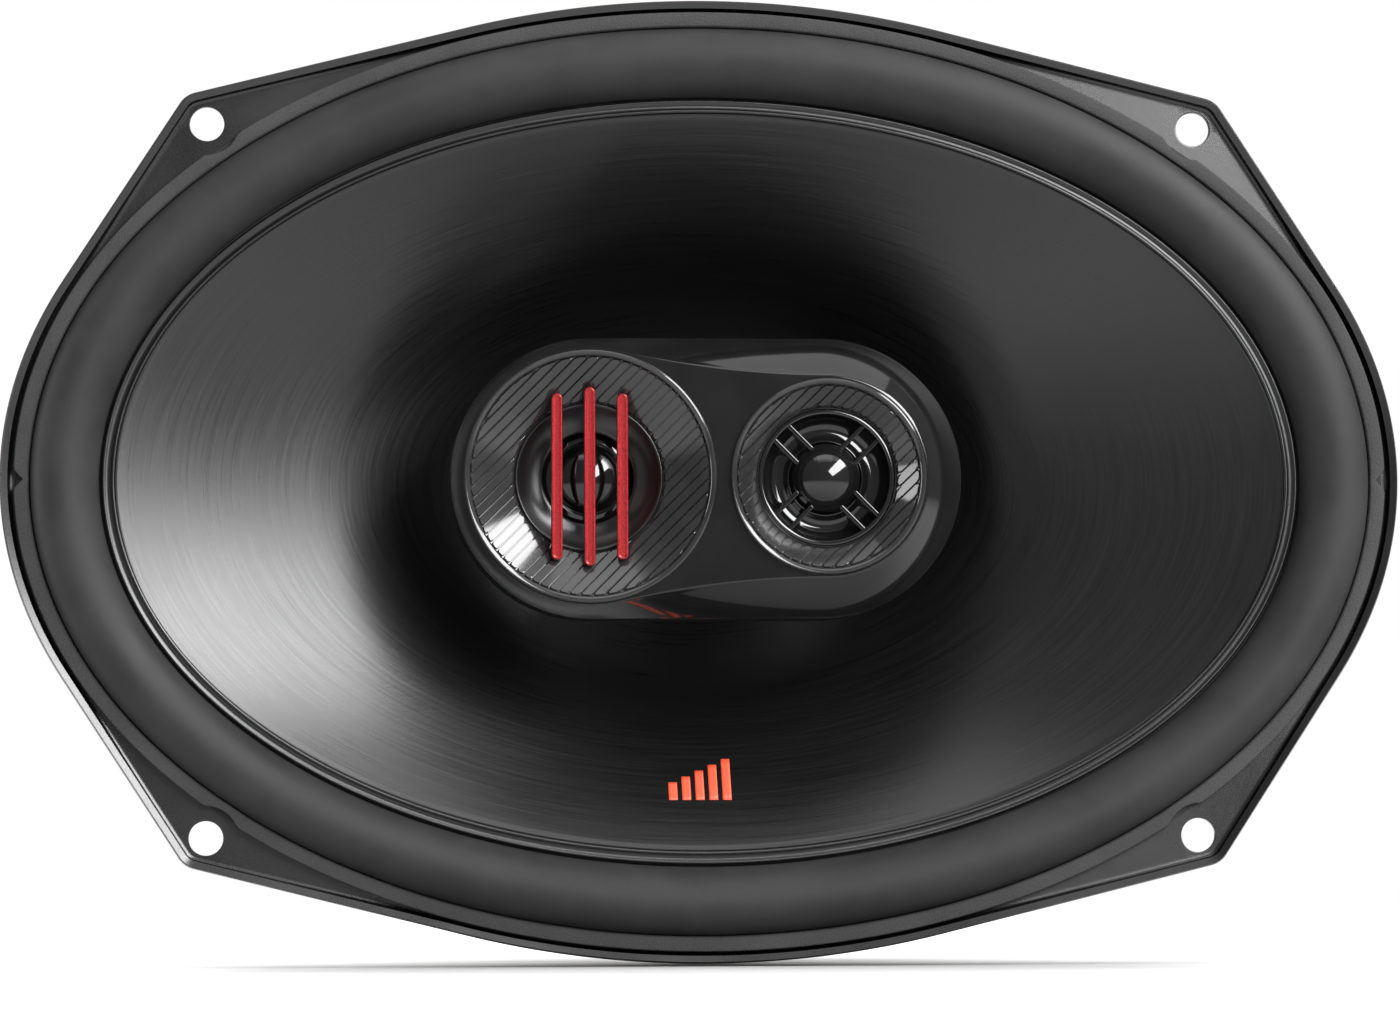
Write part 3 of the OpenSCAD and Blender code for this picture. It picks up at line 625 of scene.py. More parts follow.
def flange_edge(angles):
    """The flange's outline at each angle: an oval drawn tight round four ears."""
    cloud = []
    for k in range(720):
        a = math.radians(k / 2)
        cloud.append((FLANGE_A * math.cos(a), FLANGE_B * math.sin(a)))
    for sx in (-1, 1):
        for sy in (-1, 1):
            cloud += circle(sx * EAR_X, sy * EAR_Y, EAR_R, 96)
    hull = [Vector((cloud[i][0] / FLANGE_A, cloud[i][1] / FLANGE_B)) for i in convex_hull_2d(cloud)]
    edge = []
    for angle in angles:
        ray = Vector((math.cos(math.radians(angle)), math.sin(math.radians(angle))))
        best = 1.0
        for i, p in enumerate(hull):
            q = hull[(i + 1) % len(hull)]
            side_p, side_q = ray.cross(p), ray.cross(q)
            if side_p * side_q <= 0 and side_p != side_q and ray.dot(p + q) > 0:
                hit = p.lerp(q, side_p / (side_p - side_q))
                best = hit.length
                break
        edge.append((ray.x * best * FLANGE_A, ray.y * best * FLANGE_B))
    return edge


def wall_point(angle, z):
    """The middle of the basket's sheet below the flange. The legs carry a raised rib."""
    t = math.radians(angle)
    if z > -8:
        a = 112.0 - (SHEET_Z - z) * 0.14
        b = 75.3 - (SHEET_Z - z) * 0.14
    else:
        opened = max(1 - (-8 - z) / 30.6, 0) ** 0.85
        a = WALL_FOOT_R + 51.2 * opened
        b = WALL_FOOT_R + 14.5 * opened
    away = abs((angle + 60) % 60 - 30)
    rib = smooth(1 - away / 5.2) * smooth((-12 - z) / 5) * smooth((z + 37.5) / 5)
    a += 1.3 * rib
    b += 1.3 * rib
    return (a * math.cos(t), b * math.sin(t), z - 0.5 * rib)


def sector_angles(angles, centre, half):
    """The angles within half a sector of its centre, counted from there."""
    turned = [(a - centre + 180) % 360 - 180 for a in angles]
    return sorted(a for a in turned if abs(a) <= half + 0.001)


def framed_hole(shape, edge, field, shares, surface):
    """A ring of faces between the edge of a hole and the edge of its field, both given as (u, v) points,
    with a row of points at each share of the way. The surface function puts them in the drawing."""
    rows = []
    for share in shares:
        rows.append([surface(mix(p[0], q[0], share), mix(p[1], q[1], share)) for p, q in zip(edge, field)])
    shape.net(rows)


def window_sector(shape, angles, centre):
    """One window and the sheet round it, as far as the middle of the legs on both sides."""
    high, low = WALL_TOP_Z, WALL_FOOT_Z
    top = sector_angles(angles, centre, 30.0)
    sides = spaced(high, low, 22)
    field = [(u, high) for u in top]
    field += [(30.0, z) for z in sides[1:-1]]
    field += [(u, low) for u in reversed(top)]
    field += [(-30.0, z) for z in reversed(sides[1:-1])]
    middle, half = (high + low) / 2, (high - low) / 2
    window_half_angle, window_middle, window_half_height = 20.0, -22.2, 11.6
    hole = []
    for u, z in field:
        x, y = u / 30.0, (z - middle) / half
        reach = (abs(x) ** 7 + abs(y) ** 7) ** (1 / 7)
        hole.append((x / reach * window_half_angle, window_middle + y / reach * window_half_height))
    shares = (0, 0.06, 0.14, 0.24, 0.34, 0.44, 0.54, 0.64, 0.74, 0.83, 0.92, 1)
    framed_hole(shape, hole, field, shares, lambda u, z: wall_point(centre + u, z))


def can_point(angle, s):
    """The can's slanting wall: s runs from 0 at the ledge to 1 at the floor."""
    t = math.radians(angle)
    r = mix(CAN_TOP_R, CAN_FOOT_R, s)
    return (r * math.cos(t), r * math.sin(t), mix(CAN_TOP_Z, CAN_FOOT_Z, s))


def vent_sector(shape, angles, centre):
    """One round vent and the part of the can's wall round it."""
    top = sector_angles(angles, centre, 22.5)
    sides = spaced(0, 1, 8)
    field = [(u, 0.0) for u in top]
    field += [(22.5, s) for s in sides[1:-1]]
    field += [(u, 1.0) for u in reversed(top)]
    field += [(-22.5, s) for s in reversed(sides[1:-1])]
    per_angle = math.radians(1) * 46    # mm per degree, halfway down the can
    can_slope = 12.4
    hole = []
    for u, s in field:
        along, up = u * per_angle / 1.9, (s - 0.5) * can_slope
        reach = math.hypot(along, up)
        hole.append((along / reach * VENT_R / per_angle, 0.5 + up / reach * VENT_R / can_slope))
    framed_hole(shape, hole, field, (0, 0.08, 0.25, 0.5, 0.75, 1), lambda u, s: can_point(centre + u, s))


def flange_rows(angles):
    """The sheet from the top of the turned-up edge, in over the flange and down into the collar."""
    edge = flange_edge(angles)
    steps = [(0.84, 3.3), (0.68, 2.98), (0.61, 2.6), (0.6, 2.1)]
    for k in range(1, 6):
        a = math.pi / 2 * k / 5
        steps.append((2.1 - 1.5 * math.cos(a), 2.1 - 1.5 * math.sin(a)))
    steps.append((2.5, SHEET_Z))
    rows = stack(edge, steps)
    last = rows[-1]
    throat = [(113.9 * math.cos(math.radians(a)), 77.2 * math.sin(math.radians(a))) for a in angles]
    for share in spaced(0, 1, 12)[1:]:
        rows.append([(mix(p[0], q[0], share), mix(p[1], q[1], share), SHEET_Z) for p, q in zip(last, throat)])
    for k in range(1, 5):
        turn = math.pi / 2 * k / 4
        out = 12.2 - 1.8 * math.sin(turn)
        z = SHEET_Z - 1.8 * (1 - math.cos(turn))
        rows.append([oval(out, math.radians(a), z) for a in angles])
    for z in (-3, -5.5, -7.4, -8.6, WALL_TOP_Z):
        rows.append([wall_point(a, z) for a in angles])
    return rows


def ring_rows(angles, profile):
    """The profile's points as rings, with their points at the given angles."""
    bearings = [math.radians(a) for a in angles]
    return [[(r * math.cos(a), r * math.sin(a), z) for a in bearings] for r, z in profile]


def pierce(made, centres, radius, clear):
    """Cuts round holes in the flat part of a sheet and fills the sheet neatly round them."""
    work = bmesh.new()
    work.from_mesh(made.data)
    for centre in centres:
        middle = place(centre)
        gone = []
        for face in work.faces:
            flat = all(abs(v.co.y - middle.y) < 1e-6 for v in face.verts)
            if flat and any((v.co - middle).length < clear * MM for v in face.verts):
                gone.append(face)
        rim = {e for f in gone for e in f.edges if sum(1 for g in e.link_faces if g in gone) == 1}
        bmesh.ops.delete(work, geom=gone, context="FACES")
        rings = []
        for reach in (radius, radius + 0.25):
            ring = []
            for a in turns(48):
                ring.append(work.verts.new(middle + Vector((math.cos(a), 0, math.sin(a))) * reach * MM))
            rings.append(ring)
        for k in range(48):
            j = (k + 1) % 48
            face = work.faces.new((rings[0][k], rings[0][j], rings[1][j], rings[1][k]))
            face.smooth = True
        edges = [work.edges.get((rings[1][k], rings[1][(k + 1) % 48])) for k in range(48)]
        filled = bmesh.ops.triangle_fill(work, use_beauty=True, use_dissolve=False, edges=list(rim) + edges)
        for item in filled["geom"]:
            if isinstance(item, bmesh.types.BMFace):
                item.smooth = True
    bmesh.ops.recalc_face_normals(work, faces=work.faces)
    work.to_mesh(made.data)
    work.free()


def make_basket():
    angles = flange_angles()
    shape = Shape()
    shape.net(flange_rows(angles))
    for k in range(6):
        window_sector(shape, angles, 60.0 * k)
    ledge = [(WALL_FOOT_R, WALL_FOOT_Z), (WALL_FOOT_R, -39.4), (59.2, -40.2), (58.5, -40.8), (57.6, -40.9),
             (54.5, -40.9), (51.2, -40.9), (50.2, -41.0), (49.5, -41.3), (CAN_TOP_R, CAN_TOP_Z)]
    shape.net(ring_rows(angles, ledge))
    for k in range(8):
        vent_sector(shape, angles, 22.5 + 45.0 * k)
    floor = [(CAN_FOOT_R, CAN_FOOT_Z), (42.7, -53.2), (42.1, -53.65), (41.2, -53.8), (37, -53.8), (31, -53.8),
             (25, -53.8), (20.3, -53.8)]
    shape.net(ring_rows(angles, floor))
    made = piece("basket_shell", shape, "paint", ["basket"], None, thick=1.2, bevel=0.22, weld=0.02)
    pierce(made, [(sx * HOLE_X, sy * HOLE_Y, SHEET_Z) for sx in (-1, 1) for sy in (-1, 1)], 2.9, 4.4)
    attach(made, "frame")


def make_board_tab():
    """The tab stamped out of the lowest leg, bent down to hold the terminal board."""
    shape = Shape()
    line = [(-61.5, -26.6)]
    for k in range(6):
        a = math.pi / 2 * k / 5
        line.append((-68.9 - 1.2 * math.sin(a), -27.8 + 1.2 * math.cos(a)))
    line.append((-70.1, -32.0))
    rows = [[(x, y, z) for y, z in line] for x in spaced(-9, 9, 8)]
    shape.net(rows, close_points=False)
    piece("board_tab", shape, "paint", ["basket"], thick=1.2, bevel=0.25)


def make_gasket():
    """The pressed gasket, bitten back beside each hole, with a small notch at each end."""
    shape = Shape()
    low_z, high_z = 2.1, 3.3
    inner, outer = [], []
    for t in turns(720):
        c, s = math.cos(t), math.sin(t)
        near, far = 11.92, 14.6
        for hx in (-HOLE_X, HOLE_X):
            for hy in (-HOLE_Y, HOLE_Y):
                while far > near + 0.25 and math.hypot((RIM_A + far) * c - hx, (RIM_B + far) * s - hy) < 5.4:
                    far -= 0.05
        bite = max(0.0, 2.2 - abs((RIM_B + far) * s))
        if bite > 0:
            far = min(far, 15.2 - bite)
        inner.append(oval(near, t))
        outer.append(oval(far, t))
    rows = []
    section = ((0, low_z), (0.02, high_z - 0.6), (0.08, high_z - 0.2), (0.18, high_z - 0.03),
               (0.5, high_z + 0.02), (0.9, high_z), (0.96, high_z - 0.08), (1, high_z - 0.25), (1, low_z))
    for share, z in section:
        rows.append([(mix(p[0], q[0], share), mix(p[1], q[1], share), z) for p, q in zip(inner, outer)])
    shape.net(rows, close_rows=True)
    piece("gasket", shape, "gasket", ["front_gasket"])


# ---------- moving parts ----------

THROAT = Vector((16.55, 16.55, -35.8))
KNEE = Vector((52.0, 44.0, -14.0))
MOUTH = Vector((98.9, 62.2, 0.2))


def cone_row(u):
    """Half axes and height of the cone's front face, from the neck (0) to the bead (1)."""
    knee, width = 0.45, 0.18
    if u < knee - width:
        return THROAT.lerp(KNEE, u / knee)
    if u > knee + width:
        return KNEE.lerp(MOUTH, (u - knee) / (1 - knee))
    s = (u - knee + width) / (2 * width)
    low = THROAT.lerp(KNEE, 1 - width / knee)
    high = KNEE.lerp(MOUTH, width / (1 - knee))
    return low * (1 - s) ** 2 + KNEE * 2 * s * (1 - s) + high * s ** 2


def cone_point(u, drop, t):
    a, b, z = cone_row(u)
    return (a * math.cos(t), b * math.sin(t), z - drop)


def make_cone():
    """The cone with the moulded bead round its rim and the neck that fits over the former."""
    shape = Shape()
    stations = spaced(0, 1, 50)
    bead = [(-2.4, 0.25), (-2.4, 0.55), (-2.25, 0.8), (-2.0, 0.9), (-1.75, 0.82), (-1.6, 0.66), (-1.2, 0.6),
            (-0.8, 0.66), (-0.62, 0.8), (-0.38, 0.88), (-0.12, 0.78), (0, 0.5), (0, -0.1), (-0.1, -0.2),
            (-2.4, -0.2)]
    rows = []
    for t in turns(360):
        c, s = math.cos(t), math.sin(t)
        line = [(16.0 * c, 16.0 * s, -35.8)]
        line += [cone_point(u, 0, t) for u in stations]
        line += [oval(out, t, z) for out, z in bead]
        line += [cone_point(u, 0.8, t) for u in reversed(stations)]
        line += [(16.55 * c, 16.55 * s, -38.2), (16.0 * c, 16.0 * s, -38.2)]
        rows.append(line)
    shape.net(rows, close_rows=True)
    piece("cone_body", shape, "cone", ["cone"], "cone_assembly")


def radial_blend(made, weight):
    """Bakes the piece's placement into its points and works out a weight for each point of a ring of rubber
    or cloth, by how far out it lies between the frame and the cone; nothing uses the weights.
    """
    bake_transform(made)
    values = [weight(v.co.x / MM, v.co.z / MM) for v in made.data.vertices]


def rim_distance(x, y):
    """About how far a point lies outside the cone's rim."""
    low, high = -20.0, 40.0
    for _ in range(30):
        middle = (low + high) / 2
        if (x / (RIM_A + middle)) ** 2 + (y / (RIM_B + middle)) ** 2 > 1:
            low = middle
        else:
            high = middle
    return low


def make_surround():
    shape = Shape()
    crown, hollow = [], []
    for k in range(25):
        s = k / 24
        a = math.pi * (1 - s)
        crown.append((6.1 + 5.8 * math.cos(a), -0.25 + 2.3 * s + 5.2 * math.sin(a)))
        hollow.append((6.1 + 5.0 * math.cos(a), -1.05 + 2.3 * s + 5.2 * math.sin(a)))
    section = [(-2.1, -0.85), (-2.2, -0.8), (-2.2, -0.3), (-2.1, -0.25), (-0.9, -0.25), (0.1, -0.25)]
    section += crown
    section += [(12.1, 1.98), (12.6, 1.95), (14.1, 1.9), (14.2, 1.8), (14.2, 1.35), (14.1, 1.25),
                (12.3, 1.25), (11.6, 1.25)]
    section += list(reversed(hollow))
    section += [(0.7, -0.85), (0.2, -0.85)]
    shape.net([[oval(out, t, z) for out, z in section] for t in turns(360)], close_rows=True)
    made = piece("surround_roll", shape, "rubber", ["surround"], None, weld=0.01)
    radial_blend(made, lambda x, y: smooth((11.9 - rim_distance(x, y)) / 11.7))
    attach(made, "frame")


def make_spider():
    shape = Shape()
    line = [(16.05, -40.18), (17.4, -40.18)]
    for k in range(97):
        s = k / 96
        line.append((18.95 + (48 - 18.95) * s, -40.18 + 1.2 * math.sin(2 * math.pi * 6 * s)))
    line += [(50, -40.18), (57.4, -40.18)]
    section = [(r, z) for r, z in line] + [(r, z + 0.5) for r, z in reversed(line)]
    shape.lathe(section, sides=144)
    made = piece("spider_cloth", shape, "spider", ["spider"], None)
    radial_blend(made, lambda x, y: smooth((48.5 - math.hypot(x, y)) / 30))
    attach(made, "frame")


def make_small_moving_parts():
    lathed("former_tube", wall(15.55, 15.95, -62.4, -35.2), "paper", ["coil_former"], "cone_assembly",
           edge=0.12, corner_parts=2)
    lathed("voice_coil_winding", wall(15.97, 16.7, -62.3, -51.4), "winding", ["voice_coil"], "cone_assembly",
           edge=0.3)
    lathed("dust_felt", [(7.4, -37.0), (15.5, -37.0), (15.5, -35.9), (12, -35.75), (7.4, -35.9)], "felt",
           ["dust_ring"], "cone_assembly", edge=0.4)
    eyelets = Shape()
    for side in (-1, 1):
        where = Matrix.Translation((side * 12, -36, 0))
        eyelets.lathe([(0.0, -22.6), (0.8, -22.6), (0.8, -20.95), (0.55, -20.75), (0, -20.7)], where, 24)
        eyelets.lathe(rounded([(0.7, -22.7), (1.6, -22.7), (1.6, -21.9), (0.7, -21.9)], 0.25), where, 32)
    piece("eyelets", eyelets, "tin", ["lead_eyelets"], "cone_assembly")


def make_cone_print():
    """Five printed bars, like a level meter, in place of the words on the real cone."""
    shape = Shape()
    for k in range(5):
        x0 = -5.6 + 2.3 * k
        tall = 3.0 + 1.0 * k
        rows = []
        for x in spaced(x0, x0 + 1.5, 4):
            row = []
            for y in spaced(-54.0, -54.0 + tall, 8):
                row.append((x, y, cone_height(x, y) + 0.06))
            rows.append(row)
        shape.net(rows, close_points=False)
    piece("level_bars", shape, "print", [], "cone_assembly", thick=0.06)


def cone_height(x, y):
    """The height of the cone's front face over a point of the drawing."""
    low, high = 0.0, 1.0
    for _ in range(40):
        u = (low + high) / 2
        a, b, _ = cone_row(u)
        if (x / a) ** 2 + (y / b) ** 2 > 1:
            low = u
        else:
            high = u
    return cone_row(low)[2]


# ---------- motor ----------

def make_motor():
    lathed("top_plate_ring", wall(17.3, 42.5, -59.4, -54.4), "zinc", ["top_plate"], edge=0.5, sides=160)
    lathed("magnet_ring", wall(22, 45, -76.4, -59.4), "ferrite", ["magnet"], edge=0.9, sides=160)
    back = [(4.1, -79), (9.5, -79), (9.5, -82.4), (38, -82.4), (41.6, -81.6), (42.5, -80.4), (42.5, -76.4),
            (4.1, -76.4)]
    lathed("back_plate_disc", back, "zinc", ["back_plate"], edge=0.45, sides=160)
    lathed("pole_piece", [(4.1, -76.4), (17, -76.4), (15, -74.4), (15, -54.6), (14.4, -54), (4.1, -54)],
           "zinc", ["pole"], edge=0.3)
    rivets = Shape()
    for k in range(4):
        a = math.radians(45 + 90 * k)
        where = Matrix.Translation((31 * math.cos(a), 31 * math.sin(a), 0))
        rivets.lathe([(0, -52.0), (0.9, -52.05), (2.1, -52.3), (2.75, -52.7), (2.9, -53.1), (2.6, -53.25),
                      (1.8, -53.3), (1.8, -58.8), (0, -58.8)], where, 32)
    piece("rivets", rivets, "zinc", ["plate_rivets"])


def make_post():
    post = Shape()
    section = [(2.4, -82.3), (3.7, -82.3), (4.0, -82.0)]
    for k in range(9):
        z = -81.7 + 0.5 * k
        section += [(4.0, z), (3.72, z + 0.25)]
    section += [(4.0, -77.0), (4.0, -4.4), (7.7, -4.4), (8.0, -4.1), (8.0, -2.7), (7.7, -2.4), (2.9, -2.4),
                (2.4, -2.7)]
    post.lathe(section)
    piece("post_tube", post, "zinc", ["bridge_post"])
    lathed("sleeve", wall(4.1, 6.8, -54, -6), "satin", ["post_sleeve"], edge=0.5)
    lathed("washer", wall(4.1, 7.6, -79.7, -79), "zinc", ["post_washer"], edge=0.2)
    nut = Shape()
    rows = []
    for a in turns(48):
        half = math.radians(30)
        flat = 7.5 * math.cos(half) / math.cos((a + half) % math.radians(60) - half)
        corner = min(flat, 6.7)
        c, s = math.cos(a), math.sin(a)
        line = [(4.05, -82.2), (4.6, -82.2), (corner - 0.2, -82.2),
                (flat, -82.2 + (flat - corner) * 0.6 + 0.1), (flat, -79.8), (corner, -79.7), (4.05, -79.7)]
        rows.append([(r * c, r * s, z) for r, z in line])
    nut.net(rows, close_rows=True)
    piece("nut", nut, "zinc", ["post_nut"])


# ---------- terminals and leads ----------

def facing_down():
    """Turns an outline of (x, z) with its thickness along y."""
    return Matrix(((1, 0, 0, 0), (0, 0, -1, 0), (0, 1, 0, 0), (0, 0, 0, 1)))


def make_terminals():
    board = Shape()
    board.prism(box_outline(-13, -36, 13, -18, 1.6), 70.72, 72.3, 0.15, facing_down())
    piece("board", board, "board", ["terminal_board"])
    for end, x, width in (("positive", 9.2, 6.3), ("negative", -9.2, 4.8)):
        blade = Shape()
        w = width / 2
        outline = [(x - w + 0.9, -46), (x + w - 0.9, -46), (x + w, -44.6), (x + w, -27.8),
                   (x + w - 0.6, -27.2), (x + 1.5, -26.6), (x + 1.5, -17.4), (x + 0.9, -16.7),
                   (x - 0.9, -16.7), (x - 1.5, -17.4), (x - 1.5, -26.6), (x - w + 0.6, -27.2),
                   (x - w, -27.8), (x - w, -44.6)]
        blade.prism(outline, 72.3, 73.1, 0.16, facing_down())
        dimple = Matrix.Translation((x, -73.08, -42.5)) @ Matrix.Rotation(math.radians(90), 4, "X")
        ring = [(0, -0.05), (0.75, -0.05), (1.0, 0.02), (1.25, -0.05), (1.3, -0.3), (0, -0.3)]
        blade.lathe(ring, dimple, 24)
        piece("blade_" + end, blade, "tin", ["terminal_" + end])
    rivets = Shape()
    for side in (-1, 1):
        where = Matrix.Translation((side * 4, -72.3, -29.5)) @ Matrix.Rotation(math.radians(90), 4, "X")
        rivets.lathe([(0, 0.72), (0.8, 0.7), (1.3, 0.55), (1.65, 0.25), (1.7, 0), (1.0, -0.02), (1.0, -3.3),
                      (0, -3.3)], where, 32)
    piece("board_rivets", rivets, "tin", ["terminal_rivets"])


TINSEL = [(8.2, -72.7, -15.8), (12, -72.9, -15.6), (17, -71.4, -16.3), (21, -67, -18.2), (22.4, -60, -21),
          (21.4, -52.4, -23.2), (18.6, -45.6, -23.9), (15.6, -40.2, -23), (13.3, -37.35, -22.3)]
FEED = [(1, 0, 1), (1, 0, -12), (1, 0, -34), (1, 0, -56), (1, 0, -76), (1, -0.2, -80.4), (1, -1.7, -82.9),
        (1, -5, -83.5), (1, -18, -83.5), (1, -36, -83.5), (1, -43.6, -83), (1, -46.2, -79.6),
        (1, -46.4, -72), (1, -46.6, -62), (1, -50.6, -54), (1, -57.6, -48.6), (1, -64.2, -44.4),
        (1, -68.6, -39.6), (1, -69.9, -34)]


def make_leads():
    """Braided leads to the cone and insulated leads to the bridge."""
    for side, name in ((1, "positive"), (-1, "negative")):
        tinsel = Shape()
        path = route([(side * x, y, z) for x, y, z in TINSEL], 10)
        tinsel.tube(path, 0.68)
        made = piece("tinsel_" + name, tinsel, "braid", ["tinsel_lead_" + name], None, weighted=False)
        radial_blend(made, lambda x, y: smooth((y + 72) / 34))
        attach(made, "frame")
        feed = Shape()
        feed.tube(route([(side * x, y, z) for x, y, z in FEED], 8), 0.68)
        finish = "red_pvc" if side > 0 else "black_pvc"
        piece("feed_" + name, feed, finish, ["feed_lead_" + name], weighted=False)
        joint = Shape()
        where = Matrix.Translation((side * 9.2, -72.9, -17.6))
        joint.lathe([(0, 1.9), (0.7, 1.7), (1.25, 1.0), (1.5, 0.1), (1.4, -0.7), (0.8, -1.3), (0, -1.5)],
                    where, 24)
        piece("solder_" + name, joint, "tin", [])


# ---------- bridge ----------

WAIST_R = (4 * 20.0 ** 2 + 16.9 ** 2 - 21.6 ** 2) / (2 * (21.6 - 16.9))
TILT = math.degrees(math.atan2(2 * 20.0, 16.9 + WAIST_R))


def fascia_outline(inside=0.0):
    """Two circles joined by a hollow waist."""
    points = []

    def arc(cx, cy, r, start, end, parts):
        for k in range(parts):
            a = math.radians(mix(start, end, k / parts))
            points.append((cx + r * math.cos(a), cy + r * math.sin(a)))

    arc(-20, 0, 21.6 - inside, 90 - TILT, 270 + TILT, 96)
    arc(20, -16.9 - WAIST_R, WAIST_R + inside, 90 + TILT, 90, 36)
    arc(20, 0, 16.9 - inside, -90, 90, 64)
    arc(20, 16.9 + WAIST_R, WAIST_R + inside, 270, 270 - TILT, 36)
    return points


def stadium_point(p, radius):
    """The point of the bridge's rounded outline that faces p."""
    middle = Vector((min(max(p[0], -19.45), 19.45), 0))
    away = (Vector(p[:2]) - middle).normalized()
    spot = middle + away * radius
    return (spot.x, spot.y)


def make_fascia():
    """The gloss front: a sloping skirt up to the waisted edge, and a flat face with two openings."""
    edge = fascia_outline()
    foot = [stadium_point(p, 23.65) for p in edge]
    rows = [[(x, y, 7.02) for x, y in foot]]
    rise = FRONT_Z - 7.0
    swell = ((0.02, 0.0), (0.07, 0.1), (0.15, 0.22), (0.3, 0.35), (0.5, 0.4), (0.7, 0.3), (0.85, 0.16),
             (0.93, 0.06))
    for share, bulge in swell:
        row = []
        for p, q in zip(foot, edge):
            row.append((mix(p[0], q[0], share), mix(p[1], q[1], share), 7.0 + rise * share + bulge))
        rows.append(row)
    rows.append([(mix(p[0], q[0], 0.97), mix(p[1], q[1], 0.97), FRONT_Z - 0.12) for p, q in zip(foot, edge)])
    for inside, drop in ((0.0, 0.02), (0.12, 0.0), (0.25, 0.0)):
        rows.append([(x, y, FRONT_Z - drop) for x, y in fascia_outline(inside)])
    shape = Shape()
    shape.net(rows)
    for cx, r in ((TWEETER_X, 20.5), (SUPER_X, 15.8)):
        ring = circle(cx, 0, r, 96)
        shape.net([[(x, y, z) for x, y in ring] for z in (FRONT_Z, FRONT_Z - 1.2)])
    made = piece("fascia", shape, "gloss", ["bridge_fascia"], None, weighted=False, weld=0.0005)
    work = bmesh.new()
    work.from_mesh(made.data)
    front = -FRONT_Z * MM
    rims = []
    for e in work.edges:
        level = all(abs(v.co.y - front) < 1e-6 for v in e.verts)
        if level and len(e.link_faces) == 1:
            rims.append(e)
    bmesh.ops.triangle_fill(work, use_beauty=True, use_dissolve=False, edges=rims)
    bmesh.ops.recalc_face_normals(work, faces=work.faces)
    for face in work.faces:
        face.smooth = True
    work.to_mesh(made.data)
    work.free()
    made.data.set_sharp_from_angle(angle=math.radians(30))
    solid = made.modifiers.new("thickness", "SOLIDIFY")
    solid.thickness = 1.2 * MM
    solid.offset = -1
    solid.use_even_offset = False
    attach(made, "frame")


def make_housing():
    """The tub behind the gloss front."""
    outline = []
    for cx, start in ((19.45, -90), (-19.45, 90)):
        for k in range(49):
            a = math.radians(start + 180 * k / 48)
            outline.append((cx + 23.65 * math.cos(a), 23.65 * math.sin(a)))
    levels = [(3.2, -6.0), (1.2, -6.0), (0.75, -5.87), (0.36, -5.6), (0.12, -5.2), (0, -4.6), (0, 0),
              (0, 6.4), (0.1, 6.9), (0.25, 7.0), (1.45, 7.0), (1.6, 6.85), (1.6, -4.0), (1.75, -4.25),
              (2.0, -4.4), (3.4, -4.4)]
    shape = Shape()
    shape.solid(stack(outline, levels))
    made = piece("housing_tub", shape, "satin", ["bridge_housing"])
    screws = Shape()
    for x, y in ((4, 13.5), (4, -13.5), (33, 13), (33, -13)):
        where = Matrix.Translation((x, y, 0))
        screws.lathe([(0, -6.9), (0.5, -6.9), (0.9, -7.35), (1.5, -7.3), (2.0, -7.0), (2.2, -6.5),
                      (2.2, -6.02), (1.1, -6.0), (1.1, 4), (0, 4)], where, 32)
    piece("housing_screws", screws, "zinc", ["bridge_screws"])
    for side, node in ((1, "tweeter_capacitor"), (-1, "supertweeter_capacitor")):
        can = Shape()
        where = Matrix.Translation((0.8, side * 5.8, 2.2)) @ Matrix.Rotation(math.radians(90), 4, "X")
        can.lathe([(0, -4.7), (2.9, -4.7), (3.1, -5), (3.7, -4.9), (3.9, -4.5), (3.9, 4.2), (3.6, 4.4),
                   (3.6, 4.6), (3.9, 4.8), (3.6, 5), (3.1, 5), (2.9, 4.7), (0, 4.7)], where, 64)
        piece(node + "_can", can, "sleeve", [node])


